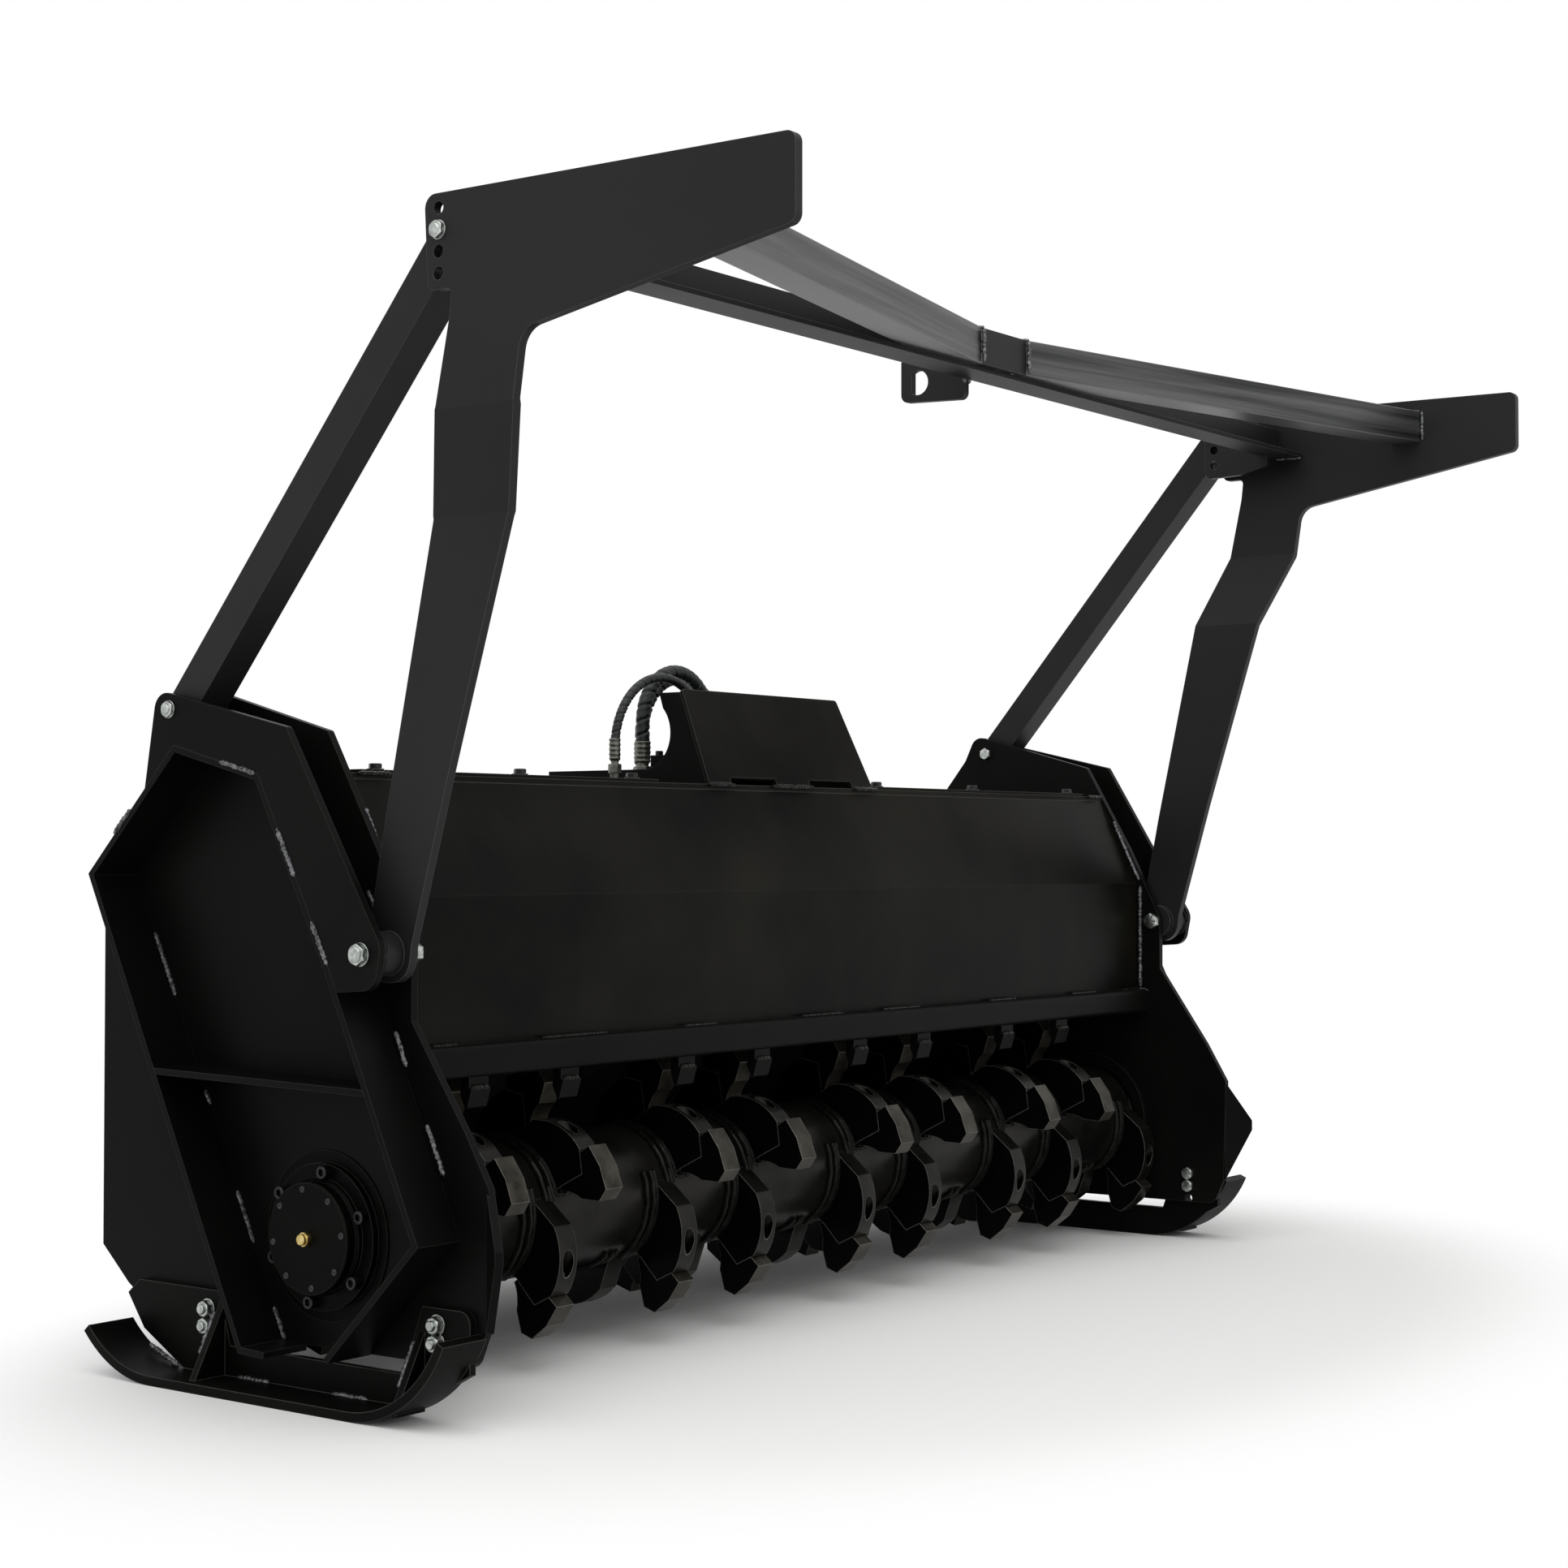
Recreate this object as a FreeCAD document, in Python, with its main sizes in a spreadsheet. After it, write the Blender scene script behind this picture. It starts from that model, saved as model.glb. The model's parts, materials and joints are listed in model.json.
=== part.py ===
import FreeCAD, Part
import math
import os
import Sketcher
from FreeCAD import Placement, Rotation, Vector

# Forestry mulcher head that a skid-steer loader carries. Millimetres.
# X runs along the rotor, positive to the right seen from the front; the front faces -Y; Z is up.
# Y = 0 is the rotor axis and Z = 0 is the ground under the skids.

doc = FreeCAD.newDocument("mulcher")
sheet = doc.addObject("Spreadsheet::Sheet", "sizes")

# Driving dimensions: name, value in mm (or degrees where the name says so), what it is.
SIZES = (
    ("cutting_width", 1829.0, "between the inner faces of the end plates"),
    ("end_plate_t", 10.0, "end plate thickness"),
    ("pocket_depth", 71.0, "end plate's outer face to the outer face of the bracket plate"),
    ("bracket_t", 10.0, "outer bracket plate thickness"),
    ("rim_t", 8.0, "bent rim plate round the end pocket"),
    ("axis_height", 201.0, "rotor axis above the ground"),
    ("tip_radius", 180.0, "tooth tip circle"),
    ("drum_radius", 92.0, "rotor drum tube"),
    ("holder_width", 33.0, "tooth holder along the rotor"),
    ("hood_t", 8.0, "bent hood plate"),
    ("bar_height", 40.0, "front bar tube height"),
    ("bar_depth", 40.0, "front bar tube depth"),
    ("bar_wall", 6.0, "front bar tube wall"),
    ("bar_radius", 7.0, "front bar outer corner radius"),
    ("shell_t", 8.0, "deck, back plate and rotor shroud"),
    ("arm_t", 12.0, "push arm plate"),
    ("arm_joggle", 45.0, "inward step of the arm's lower half"),
    ("tube_size", 50.8, "square tube of the cross frame"),
    ("strut_size", 48.0, "square tube of the struts"),
    ("tube_wall", 5.0, "wall of the square tubes"),
    ("angle_leg", 50.8, "leg of the rear angle bar"),
    ("angle_t", 7.0, "thickness of the rear angle bar"),
    ("pin_radius", 9.5, "pivot pins"),
    ("bolt_radius", 6.35, "strut bolts"),
    ("bore_clear", 0.6, "pin or bolt to hole, on the radius"),
    ("hole_pitch", 25.4, "pitch of the four strut holes"),
    ("skid_t", 12.0, "skid shoe thickness"),
    ("skid_side_t", 10.0, "skid's upright plate"),
    ("skid_curve", 175.0, "radius of the skid's two upturned ends"),
    ("hose_radius", 10.0, "large hose"),
    ("drain_radius", 6.5, "case drain hose"),
    ("coupler_width", 1137.0, "loader coupler plate, overall width"),
    ("coupler_t", 10.0, "loader coupler plate"),
    ("axis_setback", 141.0, "rotor axis behind the origin"),
)

for row, (alias, value, note) in enumerate(SIZES, start=1):
    sheet.set("A%d" % row, alias)
    sheet.set("B%d" % row, repr(value))
    sheet.set("C%d" % row, note)
    sheet.setAlias("B%d" % row, alias)
doc.recompute()

SIZE = {alias: value for alias, value, note in SIZES}
HALF = SIZE["cutting_width"] / 2
PLATE_OUT = HALF + SIZE["end_plate_t"]
RIM_OUT = PLATE_OUT + SIZE["pocket_depth"]
BRACKET_IN = RIM_OUT - SIZE["bracket_t"]
AXIS_Z = SIZE["axis_height"]

# Places in the side view, as (Y, Z).
FRONT_PIVOT = Vector(-127.8, 550.0)
REAR_PIVOT = Vector(216.2, 850.4)
ARM_TOP = 1435.0
STRUT_HOLE_2 = Vector(-250.5, ARM_TOP - 43.1)

exported = []


# Helpers.

def sizes(text):
    """Prefix every alias in an expression with the spreadsheet's name."""
    for alias in sorted(SIZE, key=len, reverse=True):
        text = text.replace("{%s}" % alias, "sizes.%s" % alias)
    return text


def corner_arc(before, corner, after, radius):
    """Tangent arc that rounds a corner: its start, middle and end points."""
    to_before = (before - corner).normalize()
    to_after = (after - corner).normalize()
    half = to_before.getAngle(to_after) / 2
    run = radius / math.tan(half)
    centre = corner + (to_before + to_after).normalize() * (radius / math.sin(half))
    middle = centre + (corner - centre).normalize() * radius
    return corner + to_before * run, middle, corner + to_after * run


def outline(points):
    """Closed outline from (y, z) or (y, z, corner radius): a list of lines and arcs."""
    corners = [(Vector(p[0], p[1], 0), p[2] if len(p) > 2 else 0.0) for p in points]
    count = len(corners)
    joints = []
    for i, (corner, radius) in enumerate(corners):
        if radius:
            joints.append(corner_arc(corners[i - 1][0], corner, corners[(i + 1) % count][0], radius))
        else:
            joints.append((corner, None, corner))
    shapes = []
    for i in range(count):
        start, middle, end = joints[i]
        if middle is not None:
            shapes.append(Part.Arc(start, middle, end))
        following = joints[(i + 1) % count][0]
        if end.distanceToPoint(following) > 1e-6:
            shapes.append(Part.LineSegment(end, following))
    return shapes


def offset_open(points, distance):
    """Open polyline moved sideways, to the left of its direction, by a distance."""
    pts = [Vector(p[0], p[1], 0) for p in points]
    normals = []
    for a, b in zip(pts, pts[1:]):
        along = (b - a).normalize()
        normals.append(Vector(-along.y, along.x, 0))
    moved = [pts[0] + normals[0] * distance]
    for i in range(1, len(pts) - 1):
        mean = (normals[i - 1] + normals[i]).normalize()
        moved.append(pts[i] + mean * (distance / mean.dot(normals[i])))
    moved.append(pts[-1] + normals[-1] * distance)
    return [(p.x, p.y) for p in moved]


def band(points, thickness):
    """Bent plate seen edge-on: the polyline and its copy moved sideways."""
    return [tuple(p) for p in points] + offset_open(points, thickness)[::-1]


def new_body(label):
    body = doc.addObject("PartDesign::Body", label)
    body.Label = label
    return body


def add_sketch(body, plane, shapes, away, name="profile"):
    """Sketch on an origin plane of the body, lifted off it by an expression."""
    sketch = body.newObject("Sketcher::SketchObject", body.Name + "_" + name)
    base = [f for f in body.Origin.OriginFeatures if f.Role == plane][0]
    sketch.AttachmentSupport = [(base, "")]
    sketch.MapMode = "FlatFace"
    if away:
        sketch.setExpression("AttachmentOffset.Base.z", sizes(away))
    add_loop(sketch, shapes)
    return sketch


def add_loop(sketch, shapes):
    """Draw a closed loop and tie each element's end to the next one's start."""
    ids = [sketch.addGeometry(shape, False) for shape in shapes]
    for one, other in zip(ids, ids[1:] + ids[:1]):
        if len(ids) > 1:
            ends = [(sketch.getPoint(one, i).distanceToPoint(sketch.getPoint(other, j)), i, j)
                    for i in (1, 2) for j in (1, 2)]
            gap, i, j = min(ends)
            sketch.addConstraint(Sketcher.Constraint("Coincident", one, i, other, j))


def pad(body, sketch, length):
    feature = body.newObject("PartDesign::Pad", body.Name + "_pad%d" % len(body.Group))
    feature.Profile = sketch
    feature.setExpression("Length", sizes(length))
    sketch.Visibility = False
    return feature


def add_holes(body, plane, holes, away, name="holes"):
    """Round through holes: (y, z, radius expression) each, cut both ways from the plane."""
    sketch = add_sketch(body, plane, [], away, name)
    for y, z, radius in holes:
        circle = sketch.addGeometry(Part.Circle(Vector(y, z, 0), Vector(0, 0, 1), 5.0), False)
        index = sketch.addConstraint(Sketcher.Constraint("Radius", circle, 5.0))
        sketch.setExpression("Constraints[%d]" % index, sizes(radius))
        sketch.addConstraint(Sketcher.Constraint("DistanceX", -1, 1, circle, 3, y))
        sketch.addConstraint(Sketcher.Constraint("DistanceY", -1, 1, circle, 3, z))
    cut = body.newObject("PartDesign::Pocket", body.Name + "_" + name + "_cut")
    cut.Profile = sketch
    cut.Type = "ThroughAll"
    cut.Midplane = True
    sketch.Visibility = False
    return cut


def side_plate(label, side, inner, thickness, points, holes=()):
    """Upright plate in the side view, from |X| = inner outward; side is -1 or 1."""
    body = new_body(label)
    start = inner if side > 0 else "-(%s) - (%s)" % (inner, thickness)
    sketch = add_sketch(body, "YZ_Plane", outline(points), start)
    pad(body, sketch, thickness)
    if holes:
        add_holes(body, "YZ_Plane", holes, start)
    return body


def across(label, points, width="{cutting_width}"):
    """Solid with a side-view outline that runs across the head, centred on X = 0."""
    body = new_body(label)
    sketch = add_sketch(body, "YZ_Plane", outline(points), None)
    feature = pad(body, sketch, width)
    feature.Midplane = True
    return body


def solid(label, shape):
    """Part of a form that neither sketches nor primitives give."""
    feature = doc.addObject("Part::Feature", label)
    feature.Label = label
    feature.Shape = shape
    feature.Placement = Placement()
    return feature


def join(label, members):
    fuse = doc.addObject("Part::MultiFuse", label)
    fuse.Label = label
    fuse.Shapes = list(members)
    fuse.Refine = True
    return fuse


def cut_from(label, base, tool):
    cut = doc.addObject("Part::Cut", label)
    cut.Label = label
    cut.Base = base
    cut.Tool = tool
    cut.Refine = True
    return cut


def compound(label, members):
    group = doc.addObject("Part::Compound", label)
    group.Label = label
    group.Links = list(members)
    return group


def keep(feature):
    exported.append(feature)
    return feature


def along_x(radius, x0, x1, y, z, name):
    """Cylinder along X between two distances, sizes bound to the sheet where they are text."""
    cyl = doc.addObject("Part::Cylinder", name)
    if isinstance(radius, str):
        cyl.setExpression("Radius", sizes(radius))
    else:
        cyl.Radius = radius
    cyl.Height = abs(x1 - x0)
    cyl.Placement = Placement(Vector(min(x0, x1), y, z), Rotation(Vector(0, 1, 0), 90))
    return cyl


def hexagon(across_flats, x0, x1, y, z, name):
    prism = doc.addObject("Part::Prism", name)
    prism.Polygon = 6
    prism.Circumradius = across_flats / math.sqrt(3)
    prism.Height = abs(x1 - x0)
    prism.Placement = Placement(Vector(min(x0, x1), y, z), Rotation(Vector(0, 1, 0), 90))
    return prism


def block(name, x0, x1, y0, y1, z0, z1):
    box = doc.addObject("Part::Box", name)
    box.Length = x1 - x0
    box.Width = y1 - y0
    box.Height = z1 - z0
    box.Placement = Placement(Vector(x0, y0, z0), Rotation())
    return box


def polar(radius, degrees):
    """Point of the side view from the rotor axis; 0 degrees is forward, 90 is up."""
    a = math.radians(degrees)
    return -radius * math.cos(a), AXIS_Z + radius * math.sin(a)


SIDES = (("left", -1), ("right", 1))

# End plates.

NOSE_FOLD = ((-268.6, 276.3), (-264.0, 108.0))
NOSE_TIP = (-305.5, 202.0)
NOSE_TIP_HALF = 8.0
NOSE_FLARE_DEG = 34.0
FOLD_LAP = 1.0
SKID_BOLTS = ((-196.0, 114.5), (-196.0, 93.0), (-196.0, 71.5), (206.0, 93.0), (206.0, 71.5))
BOLT_HOLE = "{bolt_radius} + {bore_clear}"
PIN_HOLE = "{pin_radius} + {bore_clear}"
HUB_BORE_R = 62.0

END_PLATE = (
    (4.8, 820.5, 6), (-80.5, 676.2), (-141.5, 556.8), (-141.5, 467.6), (-230.5, 340.0),
    NOSE_FOLD[0], NOSE_FOLD[1], (-246.0, 66.0, 20), (300.0, 62.0), (373.5, 108.0),
    (425.5, 154.0), (425.5, 636.0), (262.0, 838.0, 18), (240.0, 884.0, 22), (194.0, 872.0, 12),
)


def nose_flap(name, side):
    """Nose of the end plate, flared outward about its upright fold line."""
    flap = new_body("end_plate_%s_flap" % name)
    fold_y = NOSE_FOLD[0][0] + FOLD_LAP
    reach = (NOSE_TIP[0] - fold_y) / math.cos(math.radians(NOSE_FLARE_DEG))
    sketch = add_sketch(flap, "YZ_Plane", outline((
        (0.0, NOSE_FOLD[0][1]), (reach, NOSE_TIP[1] + NOSE_TIP_HALF, 6),
        (reach, NOSE_TIP[1] - NOSE_TIP_HALF, 6), (0.0, NOSE_FOLD[1][1]))), None)
    sketch.AttachmentOffset = Placement(
        Vector(fold_y, 0, side * HALF), Rotation(Vector(0, 1, 0), side * NOSE_FLARE_DEG))
    pad(flap, sketch, "{end_plate_t}").Reversed = side < 0
    return flap


for name, side in SIDES:
    plate = side_plate("end_plate_%s_flat" % name, side, "{cutting_width} / 2", "{end_plate_t}", END_PLATE, (
        (REAR_PIVOT.x, REAR_PIVOT.y, BOLT_HOLE),
        (FRONT_PIVOT.x, FRONT_PIVOT.y, PIN_HOLE),
        (0.0, AXIS_Z, "%s" % HUB_BORE_R),
    ) + tuple((y, z, BOLT_HOLE) for y, z in SKID_BOLTS))
    keep(join("end_plate_%s" % name, (plate, nose_flap(name, side))))

# End pockets.

RIM_CORNERS = {
    "rear_top": (372.0, 643.0), "top": (208.0, 805.0), "front_top": (52.0, 766.0),
    "bracket_foot": (-72.3, 533.5), "nose": (-222.9, 213.7), "front_low": (-73.2, 63.6),
    "bottom": (37.4, 57.1), "rear_low": (82.5, 58.9),
}
RIM_ORDER = ("front_low", "nose", "bracket_foot", "front_top", "top", "rear_top", "rear_low", "bottom")
SHELF_FRONT_Z = 391.0
SHELF_RISE = 8.0
SHELF_T = 8.0
RIM_SEAT = 0.2
POCKET_START = "{cutting_width} / 2 + {end_plate_t}"

BRACKET = (
    (240.0, 876.0, 22), (2.6, 822.5, 4), (-160.0, 560.0, 26), (-150.0, 508.0, 24), (-88.0, 504.0),
    RIM_CORNERS["bracket_foot"], RIM_CORNERS["front_top"], RIM_CORNERS["top"], (262.0, 751.7),
)


def inside_rim(one, other, z):
    """Y of the rim's inner face at a height, on the side between two of its corners."""
    (y0, z0), (y1, z1) = RIM_CORNERS[one], RIM_CORNERS[other]
    slope = (y1 - y0) / (z1 - z0)
    inward = math.copysign(SIZE["rim_t"] * math.hypot(1.0, slope) + RIM_SEAT, -y0)
    return y0 + slope * (z - z0) + inward


shelf_rear_z = SHELF_FRONT_Z + SHELF_RISE
SHELF = (
    (inside_rim("nose", "bracket_foot", SHELF_FRONT_Z), SHELF_FRONT_Z),
    (inside_rim("rear_top", "rear_low", shelf_rear_z), shelf_rear_z),
    (inside_rim("rear_top", "rear_low", shelf_rear_z - SHELF_T), shelf_rear_z - SHELF_T),
    (inside_rim("nose", "bracket_foot", SHELF_FRONT_Z - SHELF_T), SHELF_FRONT_Z - SHELF_T),
)

for name, side in SIDES:
    keep(side_plate("bracket_%s" % name, side, "%s + {pocket_depth} - {bracket_t}" % POCKET_START,
                    "{bracket_t}", BRACKET, (
        (REAR_PIVOT.x, REAR_PIVOT.y, BOLT_HOLE),
        (FRONT_PIVOT.x, FRONT_PIVOT.y, PIN_HOLE),
    )))
    keep(side_plate("pocket_rim_%s" % name, side, POCKET_START, "{pocket_depth}",
                    band([RIM_CORNERS[k] for k in RIM_ORDER], -SIZE["rim_t"])))
    keep(side_plate("shelf_%s" % name, side, POCKET_START, "{pocket_depth}", SHELF))

# Hood, bar, shell.

BAR_CLEAR = 10.0
BAR_BOTTOM_Z = AXIS_Z + SIZE["tip_radius"] + BAR_CLEAR
BAR_TOP_Z = BAR_BOTTOM_Z + SIZE["bar_height"]
BAR_FRONT_Y = -119.0
BAR_REAR_Y = BAR_FRONT_Y + SIZE["bar_depth"]
HOOD_FRONT_Y = -94.5
HOOD_CREASE_Z = 616.0
DECK_FRONT_Y = -26.0
DECK_REAR_Y = 305.0
DECK_Z = 761.0
BACK_Y = 405.0
BACK_TOP_Z = 640.0
BACK_LOW_Z = 150.0
BACK_LAP = 40.0

keep(across("hood", band(((DECK_FRONT_Y, DECK_Z), (HOOD_FRONT_Y, HOOD_CREASE_Z), (HOOD_FRONT_Y, BAR_TOP_Z)),
                         SIZE["hood_t"])))


def rounded_box(inset, radius):
    """Section of the front bar's tube, its outline moved inward."""
    y0, y1 = BAR_FRONT_Y + inset, BAR_REAR_Y - inset
    z0, z1 = BAR_BOTTOM_Z + inset, BAR_TOP_Z - inset
    return outline([(y, z, radius) for y, z in ((y0, z0), (y1, z0), (y1, z1), (y0, z1))])


bar = new_body("front_bar")
sketch = add_sketch(bar, "YZ_Plane", rounded_box(0.0, SIZE["bar_radius"]), None)
add_loop(sketch, rounded_box(SIZE["bar_wall"], 2.0))
pad(bar, sketch, "{cutting_width}").Midplane = True
keep(bar)

keep(across("deck", band(((DECK_FRONT_Y, DECK_Z), (DECK_REAR_Y, DECK_Z), (BACK_Y, BACK_TOP_Z),
                          (BACK_Y, BACK_TOP_Z - BACK_LAP)), SIZE["shell_t"])))
keep(across("back_plate", ((BACK_Y, BACK_TOP_Z), (BACK_Y - SIZE["shell_t"], BACK_TOP_Z),
                           (BACK_Y - SIZE["shell_t"], BACK_LOW_Z), (BACK_Y, BACK_LOW_Z))))

# Anvils.

# Pairs of anvils under the front bar, the first one counted from the left end plate.
ANVIL_FIRST = 135.5
ANVIL_GAP = 171.0
ANVIL_PERIOD = 412.0
ANVIL_WIDTH = 34.0
ANVIL_T = 19.0
anvil_front = BAR_FRONT_Y + 1.0
anvil_pairs = int((SIZE["cutting_width"] - ANVIL_FIRST - ANVIL_GAP) // ANVIL_PERIOD) + 1
ANVIL_X = [-HALF + ANVIL_FIRST + k * ANVIL_PERIOD + g for k in range(anvil_pairs) for g in (0.0, ANVIL_GAP)]
# Stem under the bar, then a body whose front face leans back to a bevelled foot.
ANVIL = (
    (anvil_front + 4.0, BAR_BOTTOM_Z), (anvil_front + 4.0, BAR_BOTTOM_Z - 12.0),
    (anvil_front, BAR_BOTTOM_Z - 14.0), (anvil_front + 7.0, BAR_BOTTOM_Z - 37.0),
    (anvil_front + 11.0, BAR_BOTTOM_Z - 39.0), (anvil_front + ANVIL_T, BAR_BOTTOM_Z - 23.0),
    (anvil_front + ANVIL_T, BAR_BOTTOM_Z),
)

anvils = []
for i, x in enumerate(ANVIL_X):
    body = new_body("anvil_%d" % (i + 1))
    sketch = add_sketch(body, "YZ_Plane", outline(ANVIL), "%s" % (x - ANVIL_WIDTH / 2))
    pad(body, sketch, "%s" % ANVIL_WIDTH)
    anvils.append(body)
keep(compound("anvils", anvils))

# Rotor.

# Runs of tooth holders along the drum, in pairs: five rows, 72 degrees apart, tip angles measured
# up from the front. First is the run's first holder from the drum's left end; the others follow
# it one period apart, as many as the drum has room for.
ROW_STEP_DEG = 72.0
FIRST_TIP_DEG = 12.0
PAIR_GAP = 177.0
PAIR_PERIOD = 424.0
DRUM_GAP = 16.0
END_PLAY = 0.5
drum_half = HALF - DRUM_GAP
RUNS = (
    {"row": 0, "first": 129.5},
    {"row": 0, "first": 129.5 + PAIR_GAP},
    {"row": -1, "first": 84.5},
    {"row": -1, "first": 84.5 + PAIR_GAP},
    {"row": -2, "first": 39.5},
    {"row": -2, "first": 39.5 + PAIR_GAP},
    {"row": 2, "first": 240.5},
    {"row": 2, "first": 395.5},
    {"row": 1, "first": 174.5},
    {"row": 1, "first": 174.5 + PAIR_GAP},
)
SEAT_TRAIL_R = SIZE["tip_radius"] - 25.0
SEAT_HEEL_R = SIZE["tip_radius"] - 34.0
NOSE_R = SIZE["tip_radius"] - 14.0
CHEEK_R = SIZE["tip_radius"] - 43.0
RIM_R = SIZE["tip_radius"] - 23.0
TOOTH_SPAN_DEG = 20.0
TOOTH_HEEL_DEG = 10.0
TOOTH_RIDGE_DROP = 1.5
TOOTH_TRAIL_DROP = 7.0
ROOT_R = SIZE["drum_radius"] - 8.0
FOOT_R = SIZE["drum_radius"] + 12.0


def behind_tip(radius, degrees):
    """Point of the holder's outline, its tip at the front: degrees count back over the rim."""
    a = math.radians(degrees)
    return Vector(-radius * math.cos(a), radius * math.sin(a), 0)


def ring_of(corners):
    return [Part.LineSegment(a, b) for a, b in zip(corners, corners[1:] + corners[:1])]


def holder_outline():
    """Hooked side profile: short throat, L-shaped seat for the tooth, round rim, straight heel."""
    lead_root = behind_tip(ROOT_R, 4.0)
    seat_foot = behind_tip(FOOT_R, 8.0)
    seat_heel = behind_tip(SEAT_HEEL_R, TOOTH_HEEL_DEG)
    seat_trail = behind_tip(SEAT_TRAIL_R, TOOTH_SPAN_DEG)
    rim_start = behind_tip(RIM_R, TOOTH_SPAN_DEG + 1.5)
    rim_end = behind_tip(RIM_R - 29.0, 56.0)
    trail_root = behind_tip(ROOT_R, 82.0)
    return [
        Part.LineSegment(lead_root, seat_foot),
        Part.LineSegment(seat_foot, seat_heel),
        Part.LineSegment(seat_heel, seat_trail),
        Part.LineSegment(seat_trail, rim_start),
        Part.Arc(rim_start, behind_tip(RIM_R - 7.0, 36.0), rim_end),
        Part.LineSegment(rim_end, trail_root),
        Part.Arc(trail_root, behind_tip(ROOT_R, 43.0), lead_root),
    ]


def tooth_outline():
    """Tooth bolted into the seat: hollow front, nose ahead of the tip, two-facet cutting face."""
    foot_lead = behind_tip(FOOT_R, 4.5)
    cheek = behind_tip(CHEEK_R, -2.5)
    nose = behind_tip(NOSE_R, -4.5)
    tip = behind_tip(SIZE["tip_radius"], 0.0)
    ridge = behind_tip(SIZE["tip_radius"] - TOOTH_RIDGE_DROP, TOOTH_SPAN_DEG / 2)
    trail = behind_tip(SIZE["tip_radius"] - TOOTH_TRAIL_DROP, TOOTH_SPAN_DEG)
    seat_trail = behind_tip(SEAT_TRAIL_R, TOOTH_SPAN_DEG)
    seat_heel = behind_tip(SEAT_HEEL_R, TOOTH_HEEL_DEG)
    seat_foot = behind_tip(FOOT_R, 8.0)
    corners = [cheek, nose, tip, ridge, trail, seat_trail, seat_heel, seat_foot, foot_lead]
    hollow = Part.Arc(foot_lead, behind_tip(SIZE["tip_radius"] - 58.0, 1.8), cheek)
    return ring_of(corners)[:-1] + [hollow]


BOLT_MOUTH = behind_tip(RIM_R - 8.0, TOOTH_SPAN_DEG + 19.0)
BOLT_AIM = behind_tip(SEAT_TRAIL_R - 14.0, TOOTH_SPAN_DEG / 2)
BOLT_WELL_R = 10.5
BOLT_WELL_DEEP = 26.0
BOLT_WELL_START = 12.0


def first_x(run):
    return run["first"] - drum_half


def repeat_along(body, features, run):
    """Copies of the features along the rotor, one for each holder of the run."""
    last = drum_half - SIZE["holder_width"] / 2 + END_PLAY
    count = int((last - first_x(run)) // PAIR_PERIOD) + 1
    if count < 2:
        return
    pattern = body.newObject("PartDesign::LinearPattern", body.Name + "_run")
    pattern.Originals = features
    pattern.Direction = (features[0].Profile[0], ["N_Axis"])
    pattern.Length = (count - 1) * PAIR_PERIOD
    pattern.Occurrences = count
    body.Tip = pattern


def place_row(body, row):
    tip_deg = FIRST_TIP_DEG + row * ROW_STEP_DEG
    body.Placement = Placement(Vector(0, 0, AXIS_Z), Rotation(Vector(1, 0, 0), -tip_deg))


def holder_run(name, run):
    """One run of holders with the bolt well in each rim."""
    body = new_body(name)
    body.AllowCompound = True
    start = "%s - {holder_width} / 2" % first_x(run)
    blank = pad(body, add_sketch(body, "YZ_Plane", holder_outline(), start), "{holder_width}")
    way = (BOLT_AIM - BOLT_MOUTH).normalize()
    well = add_sketch(body, "XY_Plane", [Part.Circle(Vector(0, 0, 0), Vector(0, 0, 1), BOLT_WELL_R)], None, "well")
    outside = BOLT_MOUTH - way * BOLT_WELL_START
    well.AttachmentOffset = Placement(Vector(first_x(run), outside.x, outside.y),
                                      Rotation(Vector(1, 0, 0), math.degrees(math.atan2(way.x, -way.y))))
    cut = body.newObject("PartDesign::Pocket", body.Name + "_well_cut")
    cut.Profile = well
    cut.Length = BOLT_WELL_START + BOLT_WELL_DEEP
    repeat_along(body, [blank, cut], run)
    place_row(body, run["row"])
    return body


def tooth_run(name, run):
    body = new_body(name)
    body.AllowCompound = True
    start = "%s - {holder_width} / 2" % first_x(run)
    tooth = pad(body, add_sketch(body, "YZ_Plane", tooth_outline(), start), "{holder_width}")
    repeat_along(body, [tooth], run)
    place_row(body, run["row"])
    return body


DRUM_WALL = 18.0
DRUM_END_T = 20.0
SHAFT_R = 32.0
SHAFT_REACH = 18.0
drum = new_body("drum")
sketch = add_sketch(drum, "XZ_Plane", outline((
    (-PLATE_OUT - SHAFT_REACH, 0.0), (-PLATE_OUT - SHAFT_REACH, SHAFT_R), (-drum_half, SHAFT_R),
    (-drum_half, SIZE["drum_radius"]), (drum_half, SIZE["drum_radius"]), (drum_half, SHAFT_R),
    (PLATE_OUT + SHAFT_REACH, SHAFT_R), (PLATE_OUT + SHAFT_REACH, 0.0))), None)
turn = drum.newObject("PartDesign::Revolution", "drum_turn")
turn.Profile = sketch
turn.ReferenceAxis = (sketch, ["H_Axis"])
turn.Angle = 360.0
drum.Placement = Placement(Vector(0, 0, AXIS_Z), Rotation())
bore = along_x("{drum_radius} - %s" % DRUM_WALL, DRUM_END_T - drum_half, drum_half - DRUM_END_T, 0, AXIS_Z, "drum_bore")
holders = [holder_run("holders_%d" % (i + 1), run) for i, run in enumerate(RUNS)]
keep(join("rotor", [cut_from("drum_tube", drum, bore)] + holders))
keep(compound("teeth", [tooth_run("teeth_%d" % (i + 1), run) for i, run in enumerate(RUNS)]))

# Bearing and motor.

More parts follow.
